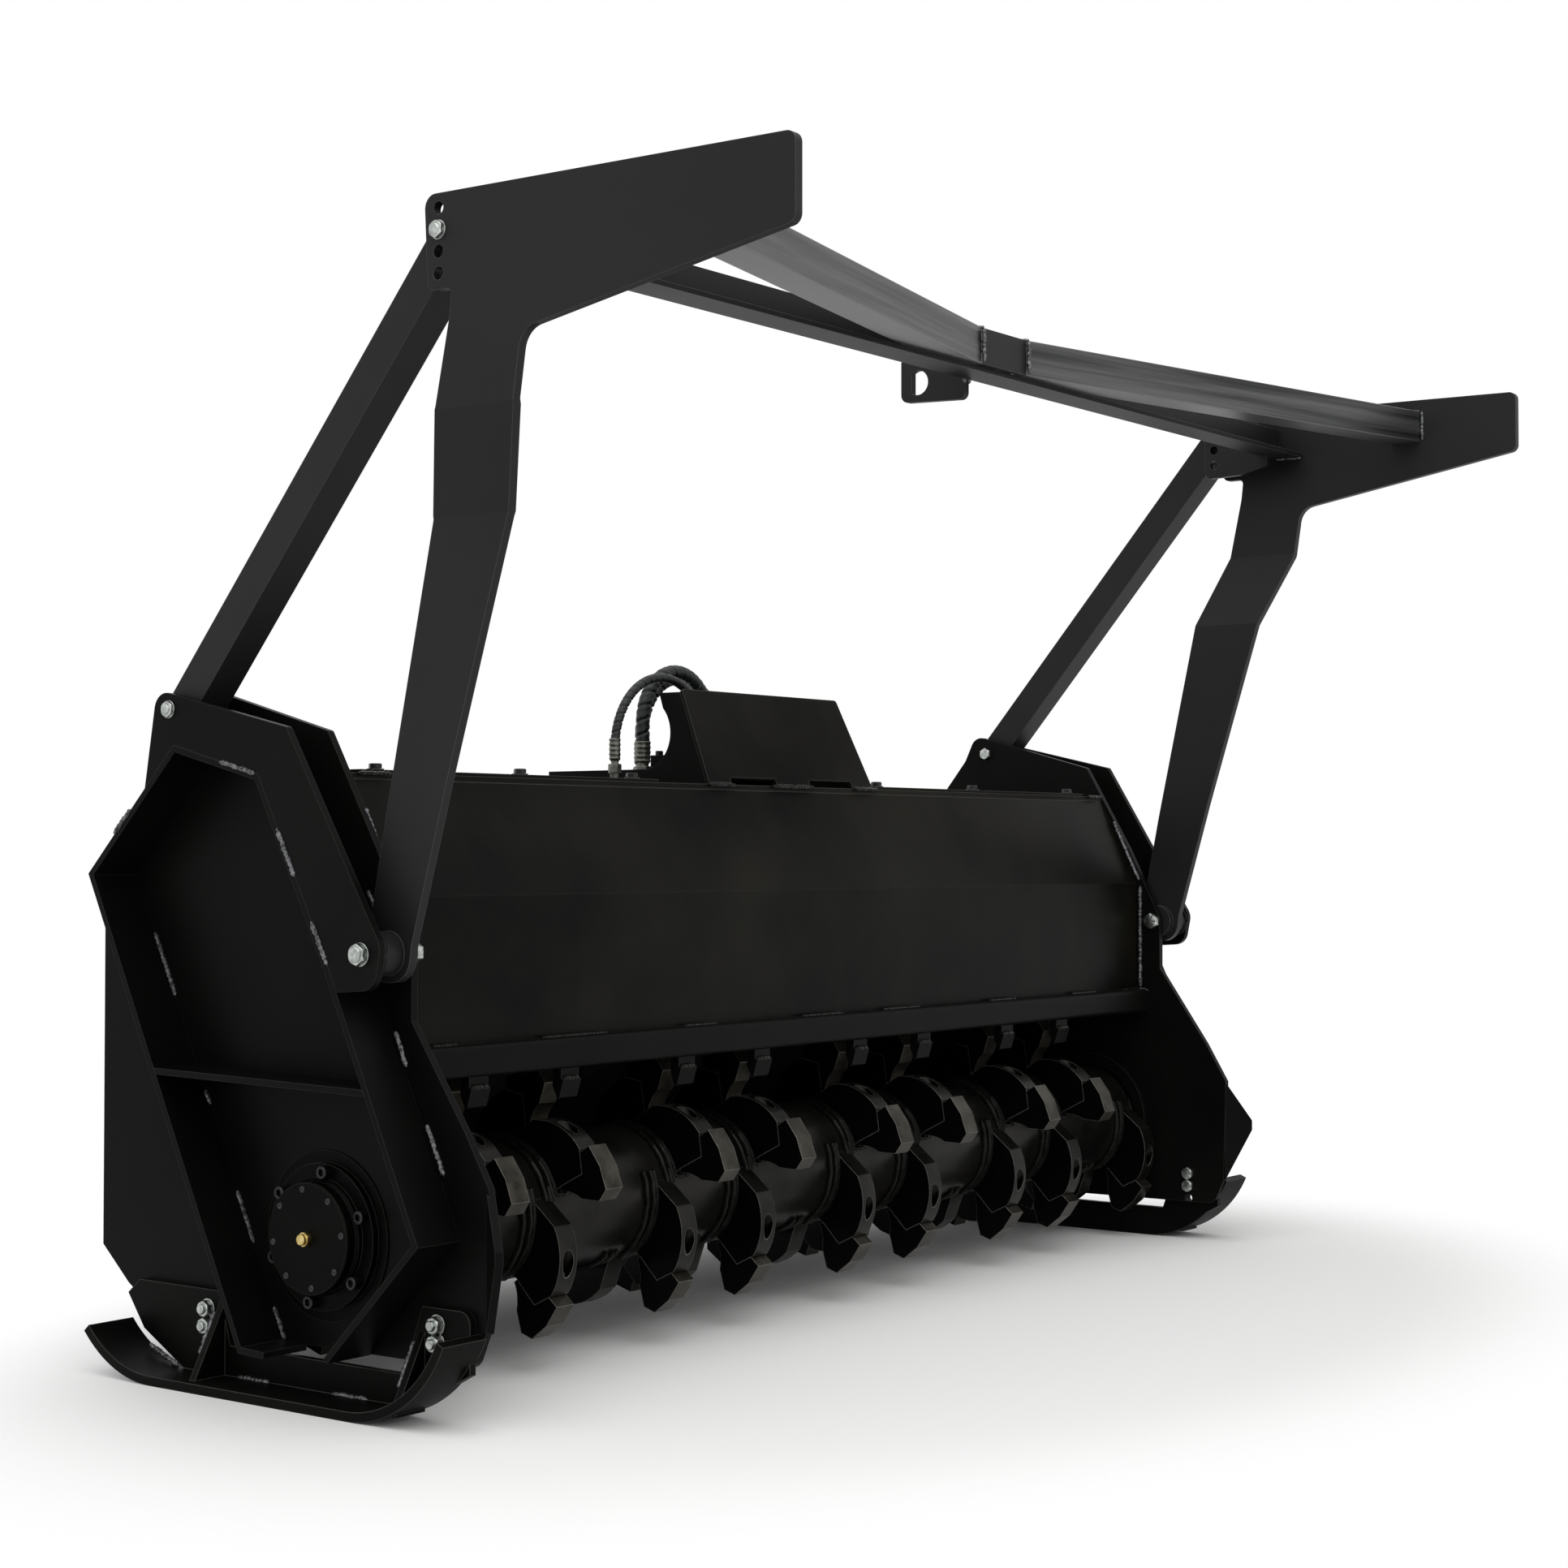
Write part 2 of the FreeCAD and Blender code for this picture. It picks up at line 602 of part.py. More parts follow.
SHAFT_BORE_R = SHAFT_R + 0.3
HUB_PROFILE = ((SHAFT_BORE_R, 0.0), (105.0, 0.0), (105.0, 2.5), (90.0, 2.5), (90.0, 12.0), (72.0, 12.0), (72.0, 18.0),
               (69.0, 21.0), (69.0, 33.5), (67.5, 35.0), (0.0, 35.0), (0.0, 22.0), (SHAFT_BORE_R, 22.0))
MOTOR_PROFILE = ((SHAFT_BORE_R, 0.0), (112.0, 0.0), (112.0, 10.0), (84.0, 10.0), (80.0, 40.0), (62.0, 46.0),
                 (62.0, 62.0), (0.0, 62.0), (0.0, 22.0), (SHAFT_BORE_R, 22.0))


def turned(label, profile, side):
    """Turned housing on the end plate: profile as (radius, distance out from the plate)."""
    body = new_body(label)
    shapes = outline([(side * (PLATE_OUT + out), radius) for radius, out in profile])
    sketch = add_sketch(body, "XZ_Plane", shapes, None)
    turn = body.newObject("PartDesign::Revolution", label + "_turn")
    turn.Profile = sketch
    turn.ReferenceAxis = (sketch, ["H_Axis"])
    turn.Angle = 360.0
    body.Placement = Placement(Vector(0, 0, AXIS_Z), Rotation())
    return body


SEAL_T = 8.0
SEAL_IN_R = SIZE["drum_radius"] + 4.0
SEAL_OUT_R = SEAL_IN_R + 18.0
seals = []
for name, side in SIDES:
    ring = along_x(SEAL_OUT_R, side * HALF, side * (HALF - SEAL_T), 0, AXIS_Z, "seal_disc_%s" % name)
    hole = along_x(SEAL_IN_R, side * (HALF + 1), side * (HALF - SEAL_T - 1), 0, AXIS_Z, "seal_hole_%s" % name)
    seals.append(cut_from("seal_ring_%s" % name, ring, hole))
keep(compound("seal_rings", seals))
keep(turned("bearing_housing", HUB_PROFILE, -1))
keep(turned("drive_motor", MOTOR_PROFILE, 1))

# Skids.

SKID_FLAT = (-105.0, 245.0)
SKID_WIDTH = 72.0
skid_curve = SIZE["skid_curve"]
skid_t = SIZE["skid_t"]


def shoe_outline():
    """Flat sole with both ends turned up on arcs."""
    front_deg, rear_deg = 66.0, 47.0
    c_front = Vector(SKID_FLAT[0], skid_curve, 0)
    c_rear = Vector(SKID_FLAT[1], skid_curve, 0)

    def on(centre, radius, deg):
        a = math.radians(deg)
        return centre + Vector(radius * math.sin(a), -radius * math.cos(a), 0)
    r_in = skid_curve - skid_t
    return [
        Part.LineSegment(on(c_front, skid_curve, 0), on(c_rear, skid_curve, 0)),
        Part.Arc(on(c_rear, skid_curve, 0), on(c_rear, skid_curve, rear_deg / 2), on(c_rear, skid_curve, rear_deg)),
        Part.LineSegment(on(c_rear, skid_curve, rear_deg), on(c_rear, r_in, rear_deg)),
        Part.Arc(on(c_rear, r_in, rear_deg), on(c_rear, r_in, rear_deg / 2), on(c_rear, r_in, 0)),
        Part.LineSegment(on(c_rear, r_in, 0), on(c_front, r_in, 0)),
        Part.Arc(on(c_front, r_in, 0), on(c_front, r_in, -front_deg / 2), on(c_front, r_in, -front_deg)),
        Part.LineSegment(on(c_front, r_in, -front_deg), on(c_front, skid_curve, -front_deg)),
        Part.Arc(on(c_front, skid_curve, -front_deg), on(c_front, skid_curve, -front_deg / 2),
                 on(c_front, skid_curve, 0)),
    ]


SKID_SIDE = (
    (-171.0, 134.0), (-248.0, 134.0, 16), (-248.0, 60.0), (-150.0, 8.0), (245.0, 8.0),
    (330.0, 55.0), (362.0, 98.0), (339.0, 117.0), (185.0, 117.0), (165.0, 50.0), (-140.0, 50.0),
)
GUSSET_Y = (-165.0, 185.0)
GUSSET_T = 10.0

for name, side in SIDES:
    shoe = new_body("skid_shoe_%s" % name)
    start = PLATE_OUT if side > 0 else -PLATE_OUT - SKID_WIDTH
    sketch = add_sketch(shoe, "YZ_Plane", shoe_outline(), "%s" % start)
    pad(shoe, sketch, "%s" % SKID_WIDTH)
    upright = side_plate("skid_side_%s" % name, side, "{cutting_width} / 2 + {end_plate_t}",
                         "{skid_side_t}", SKID_SIDE,
                         tuple((y, z, BOLT_HOLE) for y, z in SKID_BOLTS))
    gussets = []
    for i, gy in enumerate(GUSSET_Y):
        gusset = new_body("skid_gusset_%s_%d" % (name, i + 1))
        x0 = side * (PLATE_OUT + SIZE["skid_side_t"] - 1)
        x1 = side * (PLATE_OUT + 60.0)
        sketch = add_sketch(gusset, "XZ_Plane", outline(((x0, 10.0), (x1, 10.0), (x0, 106.0))),
                            "%s" % (-gy))
        pad(gusset, sketch, "%s" % GUSSET_T)
        gussets.append(gusset)
    keep(join("skid_%s" % name, [shoe, upright] + gussets))

# Push frame.

ARM = (
    (-228.0, ARM_TOP, 16), (-766.0, ARM_TOP - 9.8, 12), (-766.0, ARM_TOP - 106.3, 12),
    (-380.0, ARM_TOP - 173.0, 30), (-367.4, ARM_TOP - 255.8), (-318.1, ARM_TOP - 376.3),
    (-223.3, 755.3), (-166.0, 560.0), (-160.0, 515.0, 31), (-94.0, 515.0, 31), (-92.0, 560.0),
    (-127.2, 732.4), (-201.2, ARM_TOP - 367.5), (-246.6, ARM_TOP - 248.4), (-268.0, ARM_TOP - 149.0),
    (-272.0, ARM_TOP - 113.0, 8), (-234.0, ARM_TOP - 113.0, 10),
)
BEND_TOP_Z = ARM_TOP - 252.0
BEND_LOW_Z = ARM_TOP - 372.0
BLANK_MARGIN = 5.0
ARM_FOOT = FRONT_PIVOT.y - 45.0
ARM_OUT = RIM_OUT
BEND_START = -100.0
BEND_REACH = 900.0
COLLAR_R = 27.0
COLLAR_CLEAR = 3.0
LUG_T = 10.0
LUG_GAP = 5.0
STRUT_HOLES = [(STRUT_HOLE_2.x, STRUT_HOLE_2.y + (1 - k) * SIZE["hole_pitch"]) for k in range(4)]
STRUT_HOLE_R = 7.8

for name, side in SIDES:
    profile = side_plate(
        "arm_%s_profile" % name, side,
        "%s + {pocket_depth} - {arm_t} - {arm_joggle} - %s" % (POCKET_START, BLANK_MARGIN),
        "{arm_t} + {arm_joggle} + 2 * %s" % BLANK_MARGIN, ARM,
        [(y, z, "%s" % STRUT_HOLE_R) for y, z in STRUT_HOLES])
    bent = new_body("arm_%s_bend" % name)
    step = SIZE["arm_joggle"]
    path = [(side * (ARM_OUT - step), ARM_FOOT), (side * (ARM_OUT - step), BEND_LOW_Z),
            (side * ARM_OUT, BEND_TOP_Z), (side * ARM_OUT, ARM_TOP + BLANK_MARGIN)]
    sketch = add_sketch(bent, "XZ_Plane", outline(band(path, side * SIZE["arm_t"])), "%s" % BEND_START)
    pad(bent, sketch, "%s" % BEND_REACH)
    flat = doc.addObject("Part::Common", "arm_%s_plate" % name)
    flat.Base = profile
    flat.Tool = bent
    collar = along_x(COLLAR_R, side * (PLATE_OUT + COLLAR_CLEAR), side * (BRACKET_IN - COLLAR_CLEAR),
                     FRONT_PIVOT.x, FRONT_PIVOT.y, "arm_collar_%s" % name)
    whole = join("arm_%s_whole" % name, (flat, collar))
    bore = along_x(PIN_HOLE, side * (PLATE_OUT - 5.0), side * (RIM_OUT + 5.0),
                   FRONT_PIVOT.x, FRONT_PIVOT.y, "arm_bore_%s" % name)
    keep(cut_from("arm_%s" % name, whole, bore))

# Cross frame between the arms.
ARM_INNER = ARM_OUT - SIZE["arm_t"]
HEEL_Y = -334.0
HEEL_Z = ARM_TOP - 84.0
ANGLE_FILLET = 5.0
leg = SIZE["angle_leg"]
angle_t = SIZE["angle_t"]
angle = new_body("rear_angle_bar")
sketch = add_sketch(angle, "YZ_Plane", outline((
    (HEEL_Y, HEEL_Z), (HEEL_Y, HEEL_Z + leg), (HEEL_Y - angle_t, HEEL_Z + leg),
    (HEEL_Y - angle_t, HEEL_Z + angle_t, ANGLE_FILLET), (HEEL_Y - leg, HEEL_Z + angle_t), (HEEL_Y - leg, HEEL_Z))), None)
pad(angle, sketch, "%s" % (2 * ARM_INNER)).Midplane = True
keep(angle)

DIAG_INNER = Vector(59.0, HEEL_Y - SIZE["angle_t"] - ANGLE_FILLET, 0)
DIAG_OUTER = Vector(ARM_INNER, -549.0, 0)
DIAG_Z = HEEL_Z + angle_t
diag_dir = (DIAG_OUTER - DIAG_INNER).normalize()
DIAG_SKEW = SIZE["tube_size"] / diag_dir.x


def skewed_bar(name, side, inset, z_text, high_text):
    """Straight bar from the middle to an arm, its ends cut along Y, outline moved inward."""
    step_in = Vector(0, -inset / diag_dir.x, 0)
    step_out = Vector(0, inset / diag_dir.x - DIAG_SKEW, 0)
    ring = [DIAG_INNER + step_in, DIAG_OUTER + step_in, DIAG_OUTER + step_out, DIAG_INNER + step_out]
    body = new_body(name)
    sketch = add_sketch(body, "XY_Plane", outline([(side * p.x, p.y) for p in ring]), z_text)
    pad(body, sketch, high_text)
    return body


for name, side in SIDES:
    skin = skewed_bar("diagonal_%s_skin" % name, side, 0.0, "%s" % DIAG_Z, "{tube_size}")
    core = skewed_bar("diagonal_%s_core" % name, side, SIZE["tube_wall"],
                      "%s + {tube_wall}" % DIAG_Z, "{tube_size} - 2 * {tube_wall}")
    keep(cut_from("diagonal_%s" % name, skin, core))

CENTRE_Y = DIAG_INNER.y - DIAG_SKEW
keep(block("centre_plate", -DIAG_INNER.x, DIAG_INNER.x, CENTRE_Y, CENTRE_Y + 10.0,
           DIAG_Z, DIAG_Z + SIZE["tube_size"]))

LIFT_LUG = (
    (HEEL_Y, ARM_TOP - 37.0), (-223.0, ARM_TOP - 37.0, 14), (-223.0, ARM_TOP - 108.0, 12),
    (HEEL_Y, ARM_TOP - 113.0, 10),
)
LIFT_HOLE = Vector(-255.0, ARM_TOP - 81.0, 0)
LIFT_HOLE_R = 15.0
lug = new_body("lift_lug")
sketch = add_sketch(lug, "YZ_Plane", outline(LIFT_LUG), None)
hole_flat = LIFT_HOLE.x + LIFT_HOLE_R - 2.0
add_loop(sketch, [
    Part.LineSegment(Vector(hole_flat, LIFT_HOLE.y - LIFT_HOLE_R, 0), Vector(hole_flat, LIFT_HOLE.y + LIFT_HOLE_R, 0)),
    Part.Arc(Vector(hole_flat, LIFT_HOLE.y + LIFT_HOLE_R, 0), LIFT_HOLE + Vector(-LIFT_HOLE_R, 0, 0),
             Vector(hole_flat, LIFT_HOLE.y - LIFT_HOLE_R, 0)),
])
pad(lug, sketch, "10").Midplane = True
keep(lug)

STRUT_LUG = (
    (-232.0, ARM_TOP, 14), (HEEL_Y, ARM_TOP), (HEEL_Y, HEEL_Z), (-352.0, HEEL_Z), (-350.0, ARM_TOP - 103.0, 8),
    (-300.0, ARM_TOP - 115.0), (-240.0, ARM_TOP - 117.0, 8), (-232.0, ARM_TOP - 105.0, 8),
)
LUG_X = ARM_INNER - 2 * LUG_GAP - SIZE["strut_size"] - LUG_T
for name, side in SIDES:
    keep(side_plate("strut_lug_%s" % name, side, "%s" % LUG_X, "%s" % LUG_T, STRUT_LUG,
                    [(y, z, "%s" % STRUT_HOLE_R) for y, z in STRUT_HOLES]))

# Struts.

strut_run = STRUT_HOLE_2 - REAR_PIVOT
strut_len = strut_run.Length
strut_deg = math.degrees(math.atan2(strut_run.y, strut_run.x))
STRUT_X = ARM_INNER - LUG_GAP - SIZE["strut_size"] / 2
STRUT_END = 24.0
EYE_R = 13.0


def on_strut(x, along, up):
    """Placement on a strut: distance from its lower pin and height over its centre line."""
    turn = Rotation(Vector(1, 0, 0), strut_deg)
    base = Vector(x, REAR_PIVOT.x, REAR_PIVOT.y)
    return Placement(base + turn.multVec(Vector(0, along, up)), turn)


for name, side in SIDES:
    size = SIZE["strut_size"]
    bore = size - 2 * SIZE["tube_wall"]
    tube = doc.addObject("Part::Box", "strut_tube_%s" % name)
    hollow = doc.addObject("Part::Box", "strut_hollow_%s" % name)
    for box, text in ((tube, "{strut_size}"), (hollow, "{strut_size} - 2 * {tube_wall}")):
        box.setExpression("Length", sizes(text))
        box.setExpression("Height", sizes(text))
    tube.Width = strut_len + 2 * STRUT_END
    hollow.Width = strut_len + 2 * STRUT_END + 20
    tube.Placement = on_strut(side * STRUT_X - size / 2, -STRUT_END, -size / 2)
    hollow.Placement = on_strut(side * STRUT_X - bore / 2, -STRUT_END - 10, -bore / 2)
    walls = cut_from("strut_walls_%s" % name, tube, hollow)
    bush = along_x(EYE_R, side * (STRUT_X - size / 2), side * (STRUT_X + size / 2),
                   REAR_PIVOT.x, REAR_PIVOT.y, "strut_bush_%s" % name)
    whole = join("strut_whole_%s" % name, (walls, bush))
    eye = along_x(BOLT_HOLE, side * (STRUT_X - size), side * (STRUT_X + size),
                  REAR_PIVOT.x, REAR_PIVOT.y, "strut_eye_%s" % name)
    keep(cut_from("strut_%s" % name, whole, eye))

# Pivot pins and bolts.

PIN_HEAD = (28.6, 12.0)
BOLT_HEAD = (19.0, 8.0)


def through_bolt(name, radius, spot, inner, outer, side, head):
    """Bolt along X with a hex head outside and a nut inside."""
    flats, high = head
    shank = along_x(radius, side * (inner - high), side * (outer + high), spot.x, spot.y, name + "_shank")
    cap = hexagon(flats, side * outer, side * (outer + high), spot.x, spot.y, name + "_head")
    nut = hexagon(flats, side * (inner - high), side * inner, spot.x, spot.y, name + "_nut")
    return join(name, (shank, cap, nut))


pins = []
low_bolts = []
top_bolts = []
for name, side in SIDES:
    pins.append(through_bolt("pin_%s" % name, "{pin_radius}", FRONT_PIVOT, HALF, RIM_OUT, side, PIN_HEAD))
    low_bolts.append(through_bolt("low_bolt_%s" % name, "{bolt_radius}", REAR_PIVOT, HALF, RIM_OUT,
                                  side, BOLT_HEAD))
    # The top bolt is left open between arm and lug, where the strut's end swings past it.
    for tag, x0, x1, out in (("head", ARM_INNER + 0.5, ARM_OUT, 1), ("nut", LUG_X, LUG_X + LUG_T - 0.5, -1)):
        face = ARM_OUT if out > 0 else LUG_X
        stub = along_x("{bolt_radius}", side * x0, side * x1, STRUT_HOLE_2.x, STRUT_HOLE_2.y,
                       "top_stub_%s_%s" % (name, tag))
        cap = hexagon(BOLT_HEAD[0], side * face, side * (face + out * BOLT_HEAD[1]),
                      STRUT_HOLE_2.x, STRUT_HOLE_2.y, "top_cap_%s_%s" % (name, tag))
        top_bolts.append(join("top_bolt_%s_%s" % (name, tag), (stub, cap)))
keep(compound("front_pivot_pins", pins))
keep(compound("strut_lower_bolts", low_bolts))
keep(compound("strut_upper_bolts", top_bolts))

# Rotor shroud.

SHROUD_CLEAR = 26.0
SHROUD_R = SIZE["tip_radius"] + SHROUD_CLEAR
SHROUD_OUT_R = SHROUD_R + SIZE["shell_t"]


def ring_point(radius, degrees):
    y, z = polar(radius, degrees)
    return Vector(y, z, 0)


def above_bar(radius):
    """Angle at which a circle round the rotor axis meets the plane of the bar's rear face."""
    return math.degrees(math.acos(-BAR_REAR_Y / radius))


TAIL_IN = Vector(BACK_Y - SIZE["shell_t"], BACK_LOW_Z, 0)
TAIL_OUT = TAIL_IN + Vector(0, SIZE["shell_t"] * 1.02, 0)
in_start = ring_point(SHROUD_R, above_bar(SHROUD_R))
out_start = ring_point(SHROUD_OUT_R, above_bar(SHROUD_OUT_R))
shroud = [
    Part.Arc(in_start, ring_point(SHROUD_R, 125), ring_point(SHROUD_R, 180)),
    Part.LineSegment(ring_point(SHROUD_R, 180), TAIL_IN),
    Part.LineSegment(TAIL_IN, TAIL_OUT),
    Part.LineSegment(TAIL_OUT, ring_point(SHROUD_OUT_R, 179.0)),
    Part.Arc(ring_point(SHROUD_OUT_R, 179.0), ring_point(SHROUD_OUT_R, 125), out_start),
    Part.LineSegment(out_start, in_start),
]
body = new_body("rotor_shroud")
sketch = add_sketch(body, "YZ_Plane", shroud, None)
pad(body, sketch, "{cutting_width}").Midplane = True
keep(body)

# Deck covers, guard, hoses.

DECK_TOP = DECK_Z + SIZE["shell_t"]
COVER_T = 5.0
COVER_INSET = 34.5
COVER_FRONT_Y = -8.0
COVER_REAR_Y = 225.0
covers = [block("cover_%s" % name, x0, x1, COVER_FRONT_Y, COVER_REAR_Y, DECK_TOP, DECK_TOP + COVER_T)
          for name, x0, x1 in (("left", COVER_INSET - HALF, -300.0), ("right", 222.0, HALF - COVER_INSET))]
keep(compound("deck_covers", covers))

GUARD_X = 205.0
GUARD_TOP_X = 192.0
GUARD_T = 6.0
GUARD_LEAN_DEG = 23.9
GUARD_FOOT = Vector(DECK_FRONT_Y + 2.0, DECK_TOP + GUARD_T * math.sin(math.radians(GUARD_LEAN_DEG)), 0)
GUARD_TOP = Vector(38.0, DECK_TOP + 140.0, 0)
guard_high = GUARD_FOOT.distanceToPoint(GUARD_TOP)
body = new_body("guard_front")
sketch = add_sketch(body, "XZ_Plane", outline((
    (-GUARD_X, 0), (-152, 0), (-152, 9, 3), (-42, 9, 3), (-42, 0), (42, 0), (42, 9, 3), (152, 9, 3), (152, 0),
    (GUARD_X, 0), (GUARD_TOP_X, guard_high, 5), (-GUARD_TOP_X, guard_high, 5))), None)
pad(body, sketch, "%s" % GUARD_T).Reversed = True
body.Placement = Placement(Vector(0, GUARD_FOOT.x, GUARD_FOOT.y), Rotation(Vector(1, 0, 0), -GUARD_LEAN_DEG))
keep(body)

# Where the side strips' round notch for the hose starts and ends, counted from the rear.
GUARD_NOTCH = Vector(115.0, DECK_TOP + 77.0, 0)
GUARD_NOTCH_R = 54.0
NOTCH_HIGH_DEG = 138.0
NOTCH_MID_DEG = 180.0
NOTCH_LOW_DEG = 259.0
SIDE_HIGH = 136.0
SIDE_LIP_Y = 82.0
SIDE_REAR_Y = 299.0
GUARD_SIDE_X = GUARD_TOP_X - 8.0


def on_notch(degrees):
    a = math.radians(degrees)
    return GUARD_NOTCH + Vector(GUARD_NOTCH_R * math.cos(a), GUARD_NOTCH_R * math.sin(a), 0)


notch_high = on_notch(NOTCH_HIGH_DEG)
notch_low = on_notch(NOTCH_LOW_DEG)
inset = GUARD_T / math.cos(math.radians(GUARD_LEAN_DEG)) + 0.3
guard_sides = []
for name, side in SIDES:
    body = new_body("guard_side_%s" % name)
    corners = [Vector(GUARD_FOOT.x + inset, DECK_TOP, 0), Vector(GUARD_TOP.x + inset, DECK_TOP + SIDE_HIGH, 0),
               Vector(SIDE_LIP_Y, DECK_TOP + SIDE_HIGH, 0), notch_high]
    shapes = [Part.LineSegment(a, b) for a, b in zip(corners, corners[1:])]
    shapes.append(Part.Arc(notch_high, on_notch(NOTCH_MID_DEG), notch_low))
    tail = [notch_low, Vector(SIDE_REAR_Y, notch_low.y, 0), Vector(SIDE_REAR_Y, DECK_TOP, 0), corners[0]]
    shapes += [Part.LineSegment(a, b) for a, b in zip(tail, tail[1:])]
    x = GUARD_SIDE_X if side > 0 else -GUARD_SIDE_X - GUARD_T
    sketch = add_sketch(body, "YZ_Plane", shapes, "%s" % x)
    pad(body, sketch, "%s" % GUARD_T)
    guard_sides.append(body)
keep(compound("guard_sides", guard_sides))

MANIFOLD = (-70.0, 95.0, 88.0, 198.0, 50.0)
keep(block("manifold", MANIFOLD[0], MANIFOLD[1], MANIFOLD[2], MANIFOLD[3], DECK_TOP, DECK_TOP + MANIFOLD[4]))

# Hose arches: name, radius, Y, left and right X, height of the arch's crown centre line.
HOSES = (
    {"name": "drain_hose", "radius": "drain_radius", "y": 106.0, "x0": -262.0, "x1": -44.0, "crown": 930.0},
    {"name": "feed_hose", "radius": "hose_radius", "y": 140.0, "x0": -158.0, "x1": 0.0, "crown": 944.0},
    {"name": "return_hose", "radius": "hose_radius", "y": 172.0, "x0": -122.0, "x1": 58.0, "crown": 938.0},
)
FITTING_HIGH = 34.0
fittings = []
for hose in HOSES:
    radius = SIZE[hose["radius"]]
    y = hose["y"]
    arch = (hose["x1"] - hose["x0"]) / 2
    spring = hose["crown"] - arch
    left_foot = DECK_TOP + FITTING_HIGH
    right_foot = DECK_TOP + MANIFOLD[4] + FITTING_HIGH
    mid_x = (hose["x0"] + hose["x1"]) / 2
    path = Part.Wire([
        Part.makeLine(Vector(hose["x0"], y, left_foot), Vector(hose["x0"], y, spring)),
        Part.Arc(Vector(hose["x0"], y, spring), Vector(mid_x, y, hose["crown"]),
                 Vector(hose["x1"], y, spring)).toShape(),
        Part.makeLine(Vector(hose["x1"], y, spring), Vector(hose["x1"], y, right_foot)),
    ])
    ring = Part.Wire([Part.makeCircle(radius, Vector(hose["x0"], y, left_foot), Vector(0, 0, 1))])
    keep(solid(hose["name"], path.makePipeShell([ring], True, False)))
    for tag, x, foot in (("left", hose["x0"], DECK_TOP), ("right", hose["x1"], DECK_TOP + MANIFOLD[4])):
        stem = doc.addObject("Part::Cylinder", "%s_%s_stem" % (hose["name"], tag))
        stem.Radius = radius + 2.0
        stem.Height = FITTING_HIGH
        stem.Placement = Placement(Vector(x, y, foot), Rotation())
        nut = doc.addObject("Part::Prism", "%s_%s_nut" % (hose["name"], tag))
        nut.Polygon = 6
        nut.Circumradius = radius + 6.0
        nut.Height = 11.0
        nut.Placement = Placement(Vector(x, y, foot + 6.0), Rotation())
        fittings.append(join("%s_%s_fitting" % (hose["name"], tag), (stem, nut)))
keep(compound("hose_fittings", fittings))

# Loader coupler plate.

COUPLER_FRONT_Y = 446.0
COUPLER_LOW_Z = 176.0
COUPLER_TOP_Z = 603.0
FLANGE_END = (408.0, 138.0)
LIP_BEND_Y = 466.0
LIP_END = (484.0, 576.0)
SLOT_X = 457.0
SLOT_LONG = 60.0
SLOT_Y = (417.0, 434.0)
# One bent plate: lower flange bent forward, flat face, and the lip that hooks over the carrier.
plate = across("coupler_bent_plate", band((
    FLANGE_END, (COUPLER_FRONT_Y, COUPLER_LOW_Z), (COUPLER_FRONT_Y, COUPLER_TOP_Z),
    (LIP_BEND_Y, COUPLER_TOP_Z), LIP_END), -SIZE["coupler_t"]), "{coupler_width}")
slots = [block("coupler_slot_%s" % name, side * SLOT_X - SLOT_LONG / 2, side * SLOT_X + SLOT_LONG / 2,
               SLOT_Y[0], SLOT_Y[1], FLANGE_END[1] - 20.0, COUPLER_LOW_Z) for name, side in SIDES]
keep(cut_from("coupler_plate", plate, compound("coupler_slots", slots)))
RIB_T = 12.0
RIB_INSET = 23.5
RIB_MID_X = 250.0
RIB_TOP_Z = 592.0
rib_out = SIZE["coupler_width"] / 2 - RIB_INSET
ribs = []
for i, x in enumerate((-rib_out, -RIB_MID_X, RIB_MID_X, rib_out)):
    body = new_body("rib_%d" % (i + 1))
    sketch = add_sketch(body, "YZ_Plane", outline((
        (BACK_Y, COUPLER_LOW_Z), (COUPLER_FRONT_Y, COUPLER_LOW_Z), (COUPLER_FRONT_Y, RIB_TOP_Z), (BACK_Y, RIB_TOP_Z))),
        "%s" % (x - RIB_T / 2))
    pad(body, sketch, "%s" % RIB_T)
    ribs.append(body)
keep(compound("coupler_ribs", ribs))

# Place and write. All pieces are drawn about the rotor axis, which their Placement then sets back.

doc.recompute()
setback = Placement(Vector(0, SIZE["axis_setback"], 0), Rotation())
for feature in exported:
    feature.Placement = setback.multiply(feature.Placement)
doc.recompute()
for thing in doc.Objects:
    if "Invalid" in thing.State or "Error" in thing.State:
        raise RuntimeError("failed object: " + thing.Name)
os.makedirs("parts", exist_ok=True)
for feature in exported:
    if feature.Shape.isNull() or not feature.Shape.isValid():
        raise RuntimeError("bad sub-part: " + feature.Label)
    feature.Shape.exportStep("parts/%s.step" % feature.Label)
    print(feature.Label, len(feature.Shape.Solids), round(feature.Shape.Volume / 1e3), "cm3")
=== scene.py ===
"""Looks of a forestry mulcher head that a skid-steer loader carries.

Row frame in metres: X along the rotor, positive to the right seen from the front, the front
faces -Y, Z up from the ground. Places below are written in millimetres about the rotor's own
upright plane, as the part's source has them, and to_frame() puts them into the row frame.
"""
import json
import math

import bpy
import numpy as np
from mathutils import Matrix


